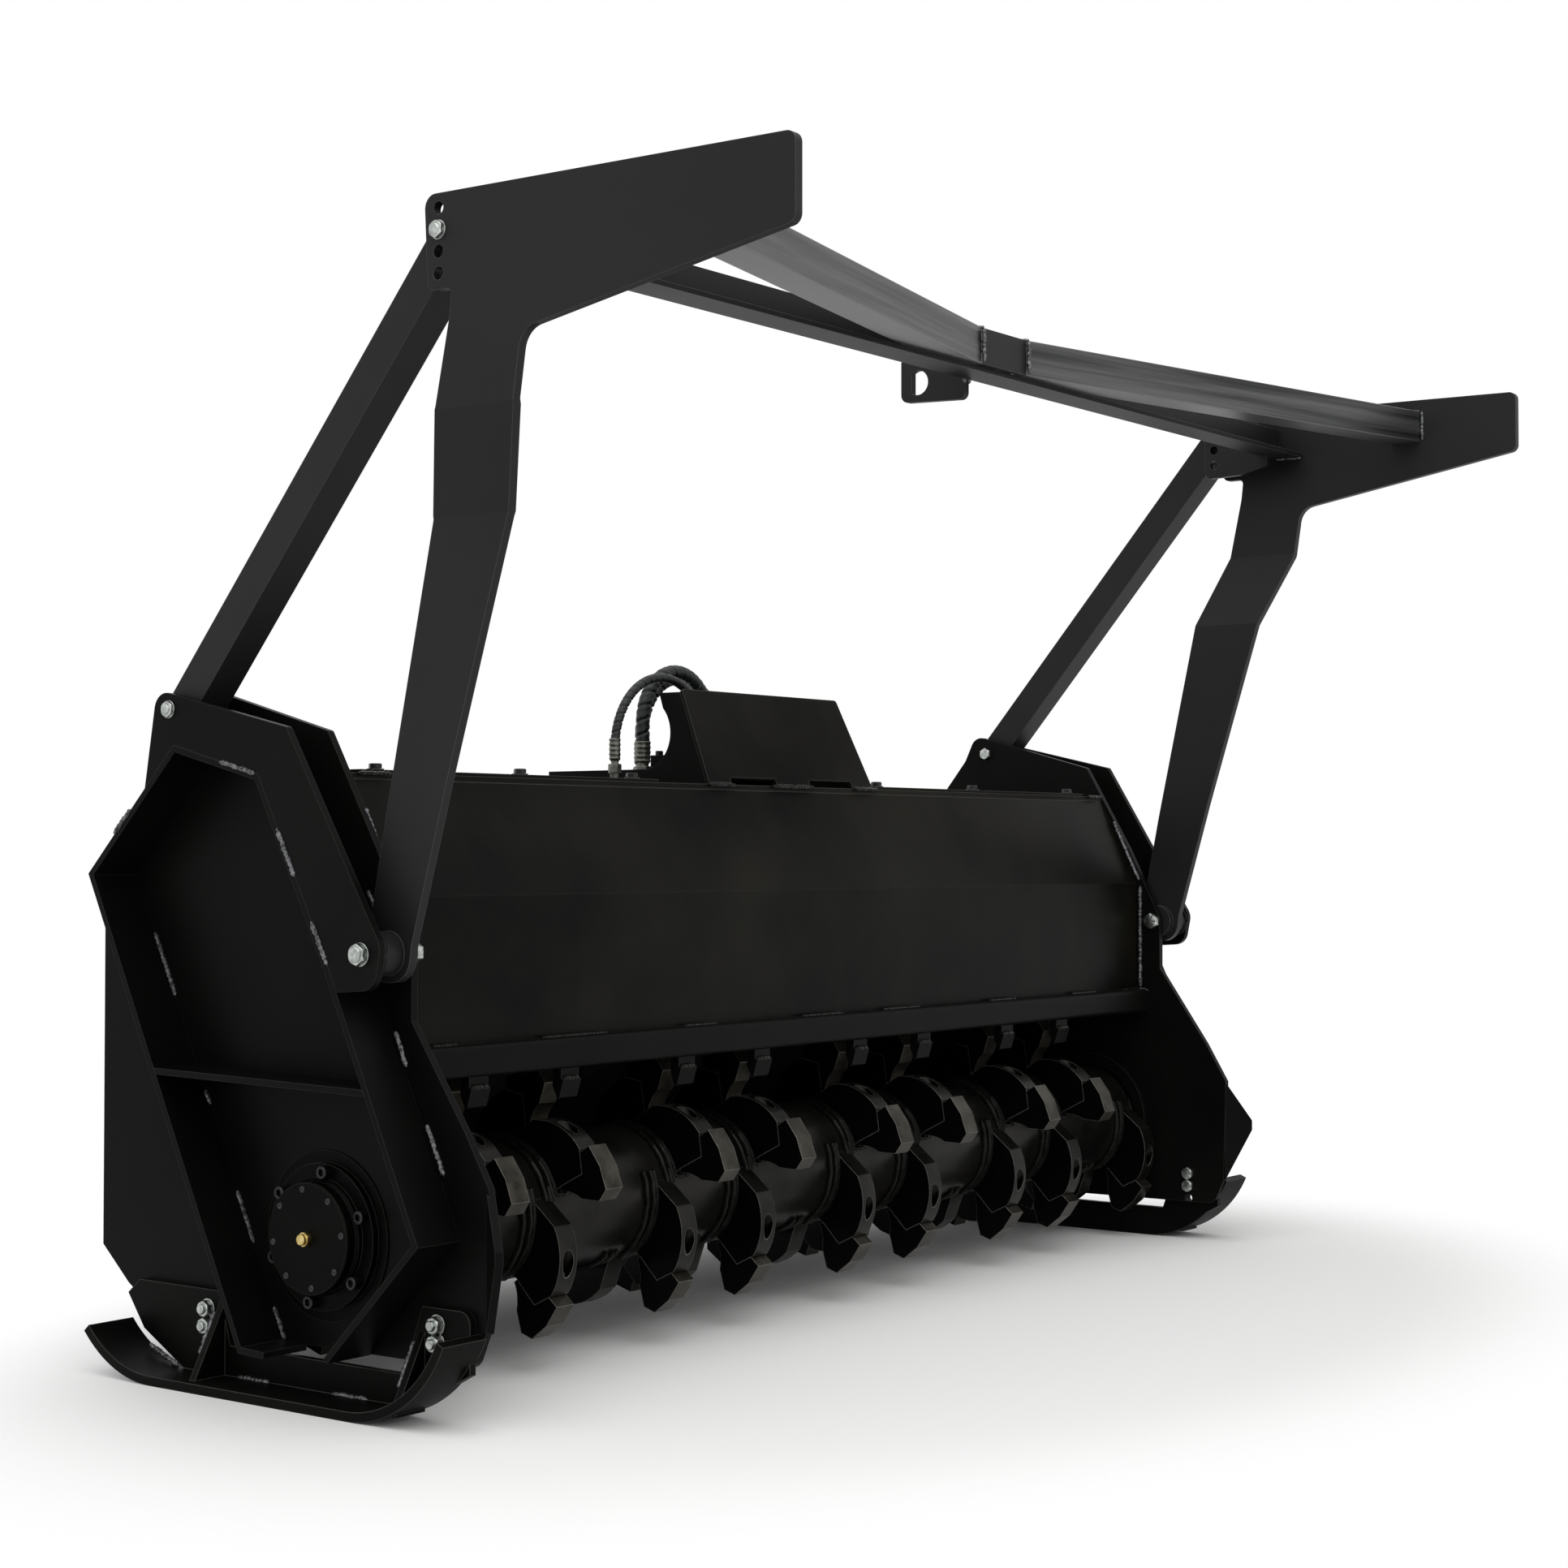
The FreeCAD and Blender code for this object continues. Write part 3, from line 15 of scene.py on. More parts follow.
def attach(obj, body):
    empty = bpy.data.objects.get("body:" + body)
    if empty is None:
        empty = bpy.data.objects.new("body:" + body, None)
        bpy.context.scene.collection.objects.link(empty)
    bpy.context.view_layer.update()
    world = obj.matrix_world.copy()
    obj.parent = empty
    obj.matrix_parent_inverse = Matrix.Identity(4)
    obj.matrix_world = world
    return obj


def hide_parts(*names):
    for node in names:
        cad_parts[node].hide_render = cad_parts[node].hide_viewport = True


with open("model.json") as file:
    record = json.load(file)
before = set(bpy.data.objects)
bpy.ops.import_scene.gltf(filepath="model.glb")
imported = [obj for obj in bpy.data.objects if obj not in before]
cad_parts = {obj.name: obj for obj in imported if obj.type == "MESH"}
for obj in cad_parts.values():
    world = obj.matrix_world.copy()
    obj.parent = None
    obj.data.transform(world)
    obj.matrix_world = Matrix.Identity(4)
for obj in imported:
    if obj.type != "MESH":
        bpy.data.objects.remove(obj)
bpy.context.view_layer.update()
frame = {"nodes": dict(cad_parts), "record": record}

# Sizes shared with the CAD part, in millimetres.

AXIS_SETBACK = 141.0
AXIS_Z = 201.0
HALF = 914.5
PLATE_OUT = 924.5
RIM_OUT = 995.5
ARM_INNER = 983.5
LUG_IN = 915.5
DECK_TOP = 769.0
COVER_TOP = 774.0
BAR_TOP_Z = 431.0
BAR_FRONT_Y = -119.0
HOOD_FACE_Y = -102.5
DRUM_R = 92.0
HOLDER_WIDTH = 33.0
FRONT_PIVOT = (-127.8, 550.0)
REAR_PIVOT = (216.2, 850.4)
TOP_BOLT = (-250.5, 1391.9)
SIDES = (("left", -1.0), ("right", 1.0))


def to_frame(points):
    """Row-frame metres of points in millimetres: Y gains the rotor axis's setback."""
    return (np.asarray(points, float) + (0.0, AXIS_SETBACK, 0.0)) / 1000.0


# Surfaces.

def unit(v):
    """Vector divided by its length, along the last axis."""
    return v / np.linalg.norm(v, axis=-1, keepdims=True)


def across(direction):
    """Two unit vectors square to each direction: the cross products with the world axis least
    in line with it, so that u, v and the direction are right-handed."""
    direction = unit(np.asarray(direction, float))
    helper = np.where(np.abs(direction[..., :1]) < 0.8, (1.0, 0.0, 0.0), (0.0, 0.0, 1.0))
    u = unit(np.cross(helper, direction))
    return u, np.cross(direction, u)


def grid_faces(rows, cols):
    """Corner numbers of a grid's cells, counter-clockwise from outside; columns close on
    themselves."""
    i = np.arange(rows - 1)[:, None]
    j = np.arange(cols)[None, :]
    a, b = i * cols, (i + 1) * cols
    k = (j + 1) % cols
    return np.stack(np.broadcast_arrays(a + j, a + k, b + k, b + j), -1).reshape(-1, 4)


def end_fans(rows, cols):
    """Triangles that close the first and last rows on two middle points kept after the grid."""
    j = np.arange(cols)
    k = (j + 1) % cols
    low = np.stack((np.full(cols, rows * cols), k, j), -1)
    last = (rows - 1) * cols
    high = np.stack((np.full(cols, rows * cols + 1), last + j, last + k), -1)
    return np.concatenate((low, high))


def piece(name, patches, finish, body, sharp_deg=38.0, stands_for=()):
    """One object from grids of points in millimetres, each (copies, rows, columns, 3). Every
    grid is a tube: its columns close, and its ends are fans on their mean points."""
    points, quads, fans, count = [], [], [], 0
    for grid in patches:
        copies, rows, cols = grid.shape[:3]
        flat = grid.reshape(copies, rows * cols, 3)
        flat = np.concatenate((flat, grid[:, :1].mean(2), grid[:, -1:].mean(2)), 1)
        shift = count + np.arange(copies)[:, None, None] * flat.shape[1]
        quads.append((grid_faces(rows, cols) + shift).reshape(-1, 4))
        fans.append((end_fans(rows, cols) + shift).reshape(-1, 3))
        points.append(flat.reshape(-1, 3))
        count += copies * flat.shape[1]
    faces = [q.tolist() for q in quads] + [f.tolist() for f in fans]
    mesh = bpy.data.meshes.new(name)
    corners = to_frame(np.concatenate(points)).tolist()
    mesh.from_pydata(corners, [], [f for group in faces for f in group])
    mesh.shade_smooth()
    mesh.set_sharp_from_angle(angle=math.radians(sharp_deg))
    mesh.materials.append(finish)
    made = bpy.data.objects.new(name, mesh)
    bpy.context.scene.collection.objects.link(made)
    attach(made, body)
    if stands_for:
        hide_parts(*stands_for)
    return made


def turned(profile, spots, axis, columns=24):
    """Profile rows of (height, radius, across flats) carried round an axis at each spot. At an
    angle the row's radius is the smaller of its circle and, where it has flats, the hexagon:
    half the flats over the cosine of the angle to the middle of the nearest flat."""
    rows = np.asarray(profile, float)
    spots = np.atleast_2d(np.asarray(spots, float))
    axis = unit(np.asarray(axis, float))
    u, v = across(axis)
    angle = np.arange(columns) * 2.0 * np.pi / columns
    to_flat = (angle + np.pi / 6) % (np.pi / 3) - np.pi / 6
    hexagon = np.where(rows[:, 2:] > 0, rows[:, 2:] / 2, 1e6) / np.cos(to_flat)
    radius = np.minimum(rows[:, 1:2], hexagon)[..., None]
    ring = np.cos(angle)[:, None] * u + np.sin(angle)[:, None] * v
    shape = rows[:, :1, None] * axis + radius * ring
    return spots[:, None, None] + shape[None]


def carried(path, radius, columns=10):
    """Circle carried along a path, square to it, with its own radius at each point."""
    path = np.asarray(path, float)
    u, v = across(np.gradient(path, axis=0))
    angle = (np.arange(columns) * 2.0 * np.pi / columns)[:, None]
    radius = np.broadcast_to(radius, (len(path), columns))[..., None]
    ring = np.cos(angle) * u[:, None] + np.sin(angle) * v[:, None]
    return (path[:, None] + radius * ring)[None]


BEAD_COLUMNS = 8


def beads(seams, size=3.6, pitch=7.0):
    """Weld beads along straight seams given by two ends: a round section whose radius swells
    once a ripple, runs out at both ends as a quarter circle, and wanders a little sideways."""
    grids = []
    for seam in seams:
        start, end = np.asarray(seam[:3], float), np.asarray(seam[3:6], float)
        length = np.linalg.norm(end - start)
        s = np.linspace(0.0, length, max(8, int(length / pitch * 5)))
        out = np.clip(np.minimum(s, length - s) / (1.6 * size), 0.02, 1.0)
        swell = 0.82 + 0.18 * np.abs(np.cos(np.pi * s / pitch))
        uneven = 1.0 + 0.10 * np.sin(0.37 * s + start[0]) + 0.06 * np.sin(0.91 * s)
        u, v = across(end - start)
        path = start + (end - start) * (s / length)[:, None] + 0.35 * np.sin(0.23 * s)[:, None] * u
        radius = size * swell * uneven * np.sqrt(out * (2 - out))
        grids.append(carried(path, radius[:, None], BEAD_COLUMNS))
    return grids


def arc_bead(x, radius, start_deg, end_deg, size, pitch=7.0, centre=(0.0, AXIS_Z)):
    """Weld bead round an axis along X, by itself the rotor's, between two angles counted up from
    the front: as a straight bead, but its middle line is an arc."""
    length = math.radians(end_deg - start_deg) * radius
    s = np.linspace(0.0, length, max(8, int(length / pitch * 4)))
    angle = math.radians(start_deg) + s / radius
    out = np.clip(np.minimum(s, length - s) / (1.6 * size), 0.02, 1.0)
    swell = 0.93 + 0.07 * np.abs(np.cos(np.pi * s / pitch))
    path = np.stack((np.full_like(s, x) + 0.5 * np.sin(0.21 * s), centre[0] - radius * np.cos(angle),
                     centre[1] + radius * np.sin(angle)), -1)
    return carried(path, (size * swell * np.sqrt(out * (2 - out)))[:, None], BEAD_COLUMNS)


# Materials.

def linear(code):
    """sRGB hex as linear red, green, blue and a full alpha."""
    parts = [int(code[i:i + 2], 16) / 255 for i in (1, 3, 5)]
    return tuple(c / 12.92 if c <= 0.04045 else ((c + 0.055) / 1.055) ** 2.4 for c in parts) + (1.0,)


def add(tree, kind, settings, links=()):
    """Shader node with its settings and its links, each link an input's name or number and the
    socket that feeds it."""
    node = tree.nodes.new(kind)
    for key, value in settings.items():
        if isinstance(key, int) or key in node.inputs:
            node.inputs[key].default_value = value
        else:
            setattr(node, key, value)
    for key, source in links:
        tree.links.new(node.inputs[key], source)
    return node


# The colour mix node has an input and an output of one name for each data type, so its colours
# are named by number.
COLOUR_A, COLOUR_B, COLOUR_OUT = 6, 7, 2


def surface(name, dark, light, patch_mm, rough, grain_mm, grain_deep, round_mm, edge, edge_share,
            settings, streak=(1.0, 1.0, 1.0), flank=None):
    """Finish of a metal or rubber piece. Two tones drift over patches of patch_mm; roughness
    runs between its two values with them; a grain of grain_mm stands grain_deep mm proud; edges
    are rounded to round_mm, and there the tone goes over to the edge colour by edge_share, a
    lighter colour that is partly wear and partly a painted highlight. Flank is painted shade: a
    darker colour put on faces square to X, where the metal is also turned off, so that only the
    rest shows as bare metal."""
    made = bpy.data.materials.new(name)
    made.use_nodes = True
    tree = made.node_tree
    shader = tree.nodes["Principled BSDF"]
    place = add(tree, "ShaderNodeTexCoord", {}).outputs["Object"]
    drawn = add(tree, "ShaderNodeMapping", {"Scale": streak}, [("Vector", place)]).outputs["Vector"]
    patch = add(tree, "ShaderNodeTexNoise", {"Scale": 1000.0 / patch_mm, "Detail": 4.0, "Roughness": 0.55},
                [("Vector", drawn)]).outputs["Fac"]
    spread = add(tree, "ShaderNodeMapRange", {"From Min": 0.35, "From Max": 0.65}, [("Value", patch)])
    tones = {"data_type": "RGBA", COLOUR_A: linear(dark), COLOUR_B: linear(light)}
    tone = add(tree, "ShaderNodeMix", tones, [("Factor", spread.outputs["Result"])])
    colour = tone.outputs[COLOUR_OUT]
    flat = add(tree, "ShaderNodeNewGeometry", {}).outputs["Normal"]
    # Painted shade: faces square to X take the flank colour, near-black, and lose their metal.
    if flank:
        x = add(tree, "ShaderNodeSeparateXYZ", {}, [("Vector", flat)]).outputs["X"]
        square = add(tree, "ShaderNodeMath", {"operation": "ABSOLUTE"}, [(0, x)]).outputs["Value"]
        left = add(tree, "ShaderNodeMapRange", {"From Min": 0.80, "From Max": 0.95},
                   [("Value", square)]).outputs["Result"]
        colour = add(tree, "ShaderNodeMix", {"data_type": "RGBA", COLOUR_B: linear(flank)},
                     [("Factor", left), (COLOUR_A, colour)]).outputs[COLOUR_OUT]
        bare = add(tree, "ShaderNodeMapRange", {"To Min": settings.pop("Metallic"), "To Max": 0.0},
                   [("Value", left)])
        tree.links.new(shader.inputs["Metallic"], bare.outputs["Result"])
    soft = add(tree, "ShaderNodeBevel", {"samples": 4, "Radius": round_mm / 1000.0}).outputs["Normal"]
    align = add(tree, "ShaderNodeVectorMath", {"operation": "DOT_PRODUCT"}, [(0, flat), (1, soft)])
    # Along the rounded edges the tone goes over to the edge colour: partly wear, partly a painted
    # highlight.
    wear_and_painted_highlight = add(tree, "ShaderNodeMapRange", {"From Min": 0.985, "From Max": 0.80, "To Max": edge_share},
               [("Value", align.outputs["Value"])])
    coloured = add(tree, "ShaderNodeMix", {"data_type": "RGBA", COLOUR_B: linear(edge)},
                   [("Factor", wear_and_painted_highlight.outputs["Result"]), (COLOUR_A, colour)])
    grain = add(tree, "ShaderNodeTexNoise", {"Scale": 1000.0 / grain_mm, "Detail": 2.0},
                [("Vector", drawn)]).outputs["Fac"]
    bump = add(tree, "ShaderNodeBump", {"Distance": grain_deep / 1000.0, "Strength": 1.0},
               [("Height", grain), ("Normal", soft)])
    polish = add(tree, "ShaderNodeMapRange", {"To Min": rough[0], "To Max": rough[1]}, [("Value", patch)])
    tree.links.new(shader.inputs["Base Color"], coloured.outputs[COLOUR_OUT])
    tree.links.new(shader.inputs["Roughness"], polish.outputs["Result"])
    tree.links.new(shader.inputs["Normal"], bump.outputs["Normal"])
    for key, value in settings.items():
        shader.inputs[key].default_value = value
    return made


# In every finish below, the edge colour that follows the rounding is partly wear and partly a painted
# highlight along the rounded edges.
# Satin black powder coat on cut and bent plate: fine orange peel that blurs what it reflects,
# with cloudy patches a little warmer or cooler; its cut edges carry a lighter edge colour as a
# painted highlight.
powder_coat = surface("satin_black_powder_coat", "#080808", "#0e0e0d", 260.0, (0.34, 0.46), 1.6, 0.030,
                      1.2, "#5a5a57", 0.6, {"Specular IOR Level": 0.05})
# The same coat on the broad bent sheets of hood, deck and guard: clouds of a warmer, lighter
# tone, partly random tone and partly a painted sheen, and bends wide enough to hold a soft line
# of light, which the lighter edge colour paints on as a highlight.
hood_coat = surface("warm_black_powder_coat_on_sheet", "#050505", "#191813", 300.0, (0.28, 0.42), 1.6,
                    0.030, 2.2, "#74736a", 0.55, {"Specular IOR Level": 0.05})
# The same coat on the push frame and struts, thinner and a little greyer.
arm_coat = surface("satin_grey_black_powder_coat", "#181718", "#201f21", 300.0, (0.42, 0.55), 1.4, 0.025,
                   1.0, "#8a8a88", 0.7, {"Specular IOR Level": 0.18})
# Gloss enamel on the rotor, thin over bright metal round the holders' rims and on the drum; their
# flanks, the faces square to X, are painted near-black as painted shade, and the edge colour is
# a painted highlight.
rotor_enamel = surface("gloss_black_enamel", "#171716", "#272623", 80.0, (0.20, 0.36), 6.0, 0.06,
                       1.6, "#a09f96", 0.50, {"Specular IOR Level": 0.08, "Metallic": 0.6}, flank="#050505")
# Forged tool steel cutting blocks: near-black painted shade on their faces square to X, and a
# lighter edge colour that is partly wear to metal and partly a painted highlight.
tooth_steel = surface("enamelled_tool_steel", "#272621", "#45423b", 34.0, (0.24, 0.40), 3.0, 0.05,
                      1.4, "#bcb8ae", 0.55, {"Specular IOR Level": 0.05, "Metallic": 0.7}, flank="#060606")
# Hot-rolled tube under a clear oil: dark mill scale in level streaks that run the tube's length.
mill_steel = surface("oiled_mill_scale_steel", "#242525", "#5d5e5d", 15.0, (0.26, 0.44), 2.2, 0.05,
                     3.0, "#a4a39f", 0.6, {"Metallic": 0.7}, streak=(0.02, 0.04, 1.0))
# Zinc electroplate on bolts, nuts and fittings: pale blue-grey, faintly mottled metal.
zinc = surface("bright_zinc_plate", "#8f9492", "#c2c5c0", 9.0, (0.26, 0.42), 1.0, 0.02,
               0.5, "#e2e2dc", 0.6, {"Metallic": 1.0})
# Dull zinc on the hose fittings, dusted grey.
fitting_zinc = surface("dull_zinc_plate", "#454742", "#74756e", 9.0, (0.34, 0.50), 1.0, 0.02,
                       0.5, "#b9bab2", 0.6, {"Metallic": 0.9})
# Cast iron with black paint: coarse sand-cast skin under a dull coat.
cast_iron = surface("painted_cast_iron", "#040404", "#090908", 60.0, (0.34, 0.52), 2.6, 0.12,
                    1.6, "#5a5a54", 0.6, {"Specular IOR Level": 0.04})
# Black-oxide alloy steel socket heads: blue-black, semi-bright.
black_oxide = surface("black_oxide_steel", "#08090a", "#121315", 12.0, (0.24, 0.36), 1.0, 0.015,
                      0.6, "#9a9c9d", 0.8, {"Specular IOR Level": 0.25})
# Weld metal under the coat: glossy ripples, with pale patches that are partly bare metal where
# the coat is thin and partly painted glints.
weld_bead = surface("coated_weld_bead", "#0b0b0c", "#77787b", 5.0, (0.14, 0.32), 2.0, 0.12,
                    0.5, "#b4b5b6", 0.3, {"Metallic": 0.45})
# Weld runs well covered by their enamel, as on the rotor and along the hood.
rotor_weld = surface("enamelled_weld_bead", "#0e0e0d", "#1d1d1b", 16.0, (0.18, 0.30), 2.4, 0.05,
                     0.6, "#77776f", 0.3, {"Specular IOR Level": 0.12, "Metallic": 0.4})
# Moulded nitrile rubber hose cover and nylon spiral wrap: matt charcoal with a soft shine.
hose_cover = surface("nylon_wrapped_rubber", "#131415", "#232527", 30.0, (0.38, 0.55), 1.6, 0.04,
                     0.5, "#55585a", 0.4, {"Specular IOR Level": 0.35})
# Skid shoe: abrasion-resistant plate, thin black paint; its lighter edges are partly paint
# scuffed to steel and partly a painted highlight.
skid_paint = surface("scuffed_black_paint", "#050505", "#0c0c0a", 120.0, (0.32, 0.55), 2.0, 0.05,
                     2.0, "#6e6c68", 0.7, {"Specular IOR Level": 0.05})
# Turned brass plug, bright and lightly tarnished.
brass = surface("turned_brass", "#a98f4e", "#d5c287", 8.0, (0.22, 0.34), 0.8, 0.01,
                0.4, "#efe3b8", 0.5, {"Metallic": 1.0})

SLOT_FINISH = {
    "black_paint": powder_coat, "rotor_paint": rotor_enamel, "tooth_steel": tooth_steel,
    "bare_tube": mill_steel, "zinc": zinc, "cast_black": cast_iron, "hose_rubber": hose_cover,
    "skid_paint": skid_paint,
}
slot_of = {part["node"]: part["material_slot"] for part in frame["record"]["subparts"]}
GREY_NODES = ("arm_left", "arm_right", "strut_left", "strut_right", "strut_lug_left",
              "strut_lug_right", "rear_angle_bar", "centre_plate", "lift_lug")
SHEET_NODES = ("hood", "deck", "deck_covers", "guard_front")
NODE_FINISH = dict.fromkeys(GREY_NODES, arm_coat) | dict.fromkeys(SHEET_NODES, hood_coat)
for node, thing in frame["nodes"].items():
    thing.data.materials.clear()
    thing.data.materials.append(NODE_FINISH.get(node, SLOT_FINISH[slot_of[node]]))


# Bolts. Profile rows are (height off the seat, radius, across flats).

def hex_nut(flats, high, start=0.0):
    """Hexagon on a round washer face, its top corners turned off to a chamfer."""
    face, corner = flats * 0.48, flats * 0.58
    return [(start, face, 0), (start + 0.5, face, 0), (start + 0.5, corner, flats),
            (start + high - 1.5, corner, flats), (start + high - 0.5, flats * 0.53, flats),
            (start + high, face, 0)]


def washer(radius, thick, start=0.0):
    """Flat ring: a disc with softened rims, closed by the nut that stands on it."""
    return [(start, radius - 0.3, 0), (start + 0.3, radius, 0), (start + thick - 0.3, radius, 0),
            (start + thick, radius - 0.3, 0)]


def nut_and_end(flats, high, washer_r, washer_t, thread_r, thread_high):
    """Washer, hexagon nut and the bolt's end that stands out of it."""
    top = washer_t + high
    end = top + thread_high
    return (washer(washer_r, washer_t) + hex_nut(flats, high, washer_t)
            + [(top, thread_r, 0), (end - 1.0, thread_r, 0), (end, thread_r - 1.0, 0)])


def socket_head(radius, high, key):
    """Cylinder head with a rounded rim and a hexagon socket sunk to half its height."""
    corner = key * 0.62
    return [(-1.0, radius, 0), (high - 1.0, radius, 0), (high, radius - 1.0, 0), (high, corner, 0),
            (high - 0.8, corner, key), (high * 0.45, corner, key), (high * 0.42, 0.6, 0)]


HALF_INCH_FLATS, HALF_INCH_R = 19.0, 6.35
SKID_EAR = 10.0
SKID_BOLT_YZ = ((-196.0, 114.5), (-196.0, 93.0), (206.0, 93.0), (206.0, 71.5))
skid_bolts = [turned(nut_and_end(HALF_INCH_FLATS, 9.0, 12.5, 2.0, HALF_INCH_R, 4.0),
                     [(side * (PLATE_OUT + SKID_EAR), y, z) for y, z in SKID_BOLT_YZ], (side, 0, 0))
              for name, side in SIDES]
skid_heads = [turned(hex_nut(HALF_INCH_FLATS, 8.0),
                     [(side * HALF, y, z) for y, z in SKID_BOLT_YZ], (-side, 0, 0))
              for name, side in SIDES]
piece("skid_bolts", skid_bolts + skid_heads, zinc, "head")


def through_bolt(spot, inner, outer, side, flats, shank, high):
    """Bolt along X in one turned profile: nut inside, shank, then washer, head and end."""
    rows = [(-high, flats * 0.48, 0), (-high + 1.0, flats * 0.58, flats), (-0.5, flats * 0.58, flats),
            (0.0, flats * 0.48, 0), (0.0, shank, 0)]
    length = outer - inner
    rows += [(length, shank, 0)] + [(length + h, r, f) for h, r, f in
                                    nut_and_end(flats, high - 4.5, flats * 0.6, 2.0, shank, 2.5)]
    return turned(rows, [(side * inner, spot[0], spot[1])], (side, 0, 0))


PIVOT_FLATS, PIVOT_R = 23.8, 9.5
pivot_pins = [through_bolt(FRONT_PIVOT, HALF, RIM_OUT, side, PIVOT_FLATS, PIVOT_R, 12.0)
              for name, side in SIDES]
piece("pivot_pins", pivot_pins, zinc, "head", stands_for=("front_pivot_pins",))
foot_bolts = [through_bolt(REAR_PIVOT, HALF, RIM_OUT, side, HALF_INCH_FLATS, HALF_INCH_R, 8.0)
              for name, side in SIDES]
piece("strut_foot_bolts", foot_bolts, zinc, "head", stands_for=("strut_lower_bolts",))
top_head = [(-11.5, HALF_INCH_R, 0)] + nut_and_end(HALF_INCH_FLATS, 5.5, 11.5, 1.0, HALF_INCH_R, 1.5)
top_nut = [(-9.5, HALF_INCH_R, 0)] + hex_nut(HALF_INCH_FLATS, 8.0)
top_bolts = []
for name, side in SIDES:
    top_bolts.append(turned(top_head, [(side * RIM_OUT, *TOP_BOLT)], (side, 0, 0)))
    top_bolts.append(turned(top_nut, [(side * LUG_IN, *TOP_BOLT)], (-side, 0, 0)))
piece("strut_top_bolts", top_bolts, zinc, "push_frame", stands_for=("strut_upper_bolts",))

DECK_BOLT_X = (-840.0, -572.0, -340.0, 262.0, 543.0, 850.0)
DECK_BOLT_Y = (8.0, 208.0)
deck_spots = [(x, y, COVER_TOP) for x in DECK_BOLT_X for y in DECK_BOLT_Y]
deck_bolts = turned(washer(11.0, 1.8) + hex_nut(15.0, 6.5, 1.8), deck_spots, (0, 0, 1))
piece("deck_bolts", [deck_bolts], black_oxide, "head")

# Bearing cap: six long socket screws in the flange, eight small ones in the cap, brass plug.

FLANGE_OUT = 12.0
CAP_OUT = 35.0
FLANGE_SCREW_R, CAP_SCREW_R = 80.5, 60.0


def on_circle(x, radius, count, first_deg):
    """Points evenly round the rotor's axis."""
    a = np.radians(first_deg + np.arange(count) * 360.0 / count)
    return np.stack((np.full(count, x), -radius * np.cos(a), AXIS_Z + radius * np.sin(a)), -1)


LARGE_SCREW, SMALL_SCREW = socket_head(8.2, 12.0, 8.0), socket_head(4.4, 1.6, 4.0)
hub_spots = on_circle(-PLATE_OUT - FLANGE_OUT, FLANGE_SCREW_R, 6, 22.0)
piece("hub_screws", [turned(LARGE_SCREW, hub_spots, (-1, 0, 0))], black_oxide, "head")
cap_spots = on_circle(-PLATE_OUT - CAP_OUT, CAP_SCREW_R, 8, 8.0)
piece("hub_cap_screws", [turned(SMALL_SCREW, cap_spots, (-1, 0, 0))], black_oxide, "head")
plug = [(-1.0, 9.0, 17.0), (6.0, 9.6, 17.0), (7.0, 8.6, 17.0), (7.0, 7.0, 0), (11.0, 7.0, 0),
        (12.0, 6.0, 0)]
plug_spot = (-PLATE_OUT - CAP_OUT, 0.0, AXIS_Z)
piece("hub_plug", [turned(plug, [plug_spot], (-1, 0, 0))], brass, "head")

# Motor on the right end: screws round its flange and in its cover.
motor_flange = turned(LARGE_SCREW, on_circle(PLATE_OUT + 10.0, 98.0, 6, 22.0), (1, 0, 0))
motor_cover = turned(socket_head(6.0, 8.0, 6.0), on_circle(PLATE_OUT + 62.0, 46.0, 4, 45.0), (1, 0, 0))
piece("motor_screws", [motor_flange, motor_cover], black_oxide, "head")
MANIFOLD_TOP = DECK_TOP + 50.0
manifold_spots = [(x, y, MANIFOLD_TOP) for x in (-60.0, 85.0) for y in (97.0, 189.0)]
piece("manifold_screws", [turned(socket_head(6.0, 7.0, 6.0), manifold_spots, (0, 0, 1))],
      black_oxide, "head")

# Hoses between the deck and the manifold, wrapped in a flat nylon spiral.

# Name, radius, Y, left and right X, height of the crown's centre line.
HOSES = (
    ("drain_hose", 6.5, 106.0, -262.0, -44.0, 930.0),
    ("feed_hose", 10.0, 140.0, -158.0, 0.0, 944.0),
    ("return_hose", 10.0, 172.0, -122.0, 58.0, 938.0),
)
LEFT_FOOT = DECK_TOP
RIGHT_FOOT = MANIFOLD_TOP
FITTING_HIGH = 34.0


def arch(y, x0, x1, crown):
    """Middle line of a hose: straight up from the left fitting, half a circle, straight down."""
    radius, middle = (x1 - x0) / 2, (x0 + x1) / 2
    spring = crown - radius
    up, over = spring - LEFT_FOOT - FITTING_HIGH, math.pi * radius
    down = spring - RIGHT_FOOT - FITTING_HIGH
    s = np.linspace(0.0, up + over + down, int((up + over + down) / 1.4))
    turn = np.clip((s - up) / radius, 0.0, math.pi)
    x = middle - radius * np.cos(turn)
    z = spring + radius * np.sin(turn) - np.clip(up - s, 0, None) - np.clip(s - up - over, 0, None)
    return s, np.stack((x, np.full_like(s, y), z), -1), np.stack((np.sin(turn), 0 * s, np.cos(turn)), -1)


def wrapped_hose(radius, y, x0, x1, crown, columns=28):
    """Circle carried along the arch; its radius drops in a groove that climbs one pitch a turn,
    where two turns of the wrap meet, and swells halfway between as a barrel."""
    s, path, way = arch(y, x0, x1, crown)
    side = np.array((0.0, 1.0, 0.0))
    other = np.cross(side, way)
    angle = np.arange(columns) * 2.0 * np.pi / columns
    pitch = 2.1 * radius
    phase = (s[:, None] / pitch - angle / (2 * np.pi)) % 1.0
    groove = np.exp(-((phase - 0.5) / 0.07) ** 2)
    wrap = radius * (1.0 + 0.05 * np.sin(2 * np.pi * phase) ** 2 - 0.24 * groove)
    ring = np.sin(angle)[:, None] * side + np.cos(angle)[:, None] * other[:, None]
    return (path[:, None] + wrap[..., None] * ring)[None]


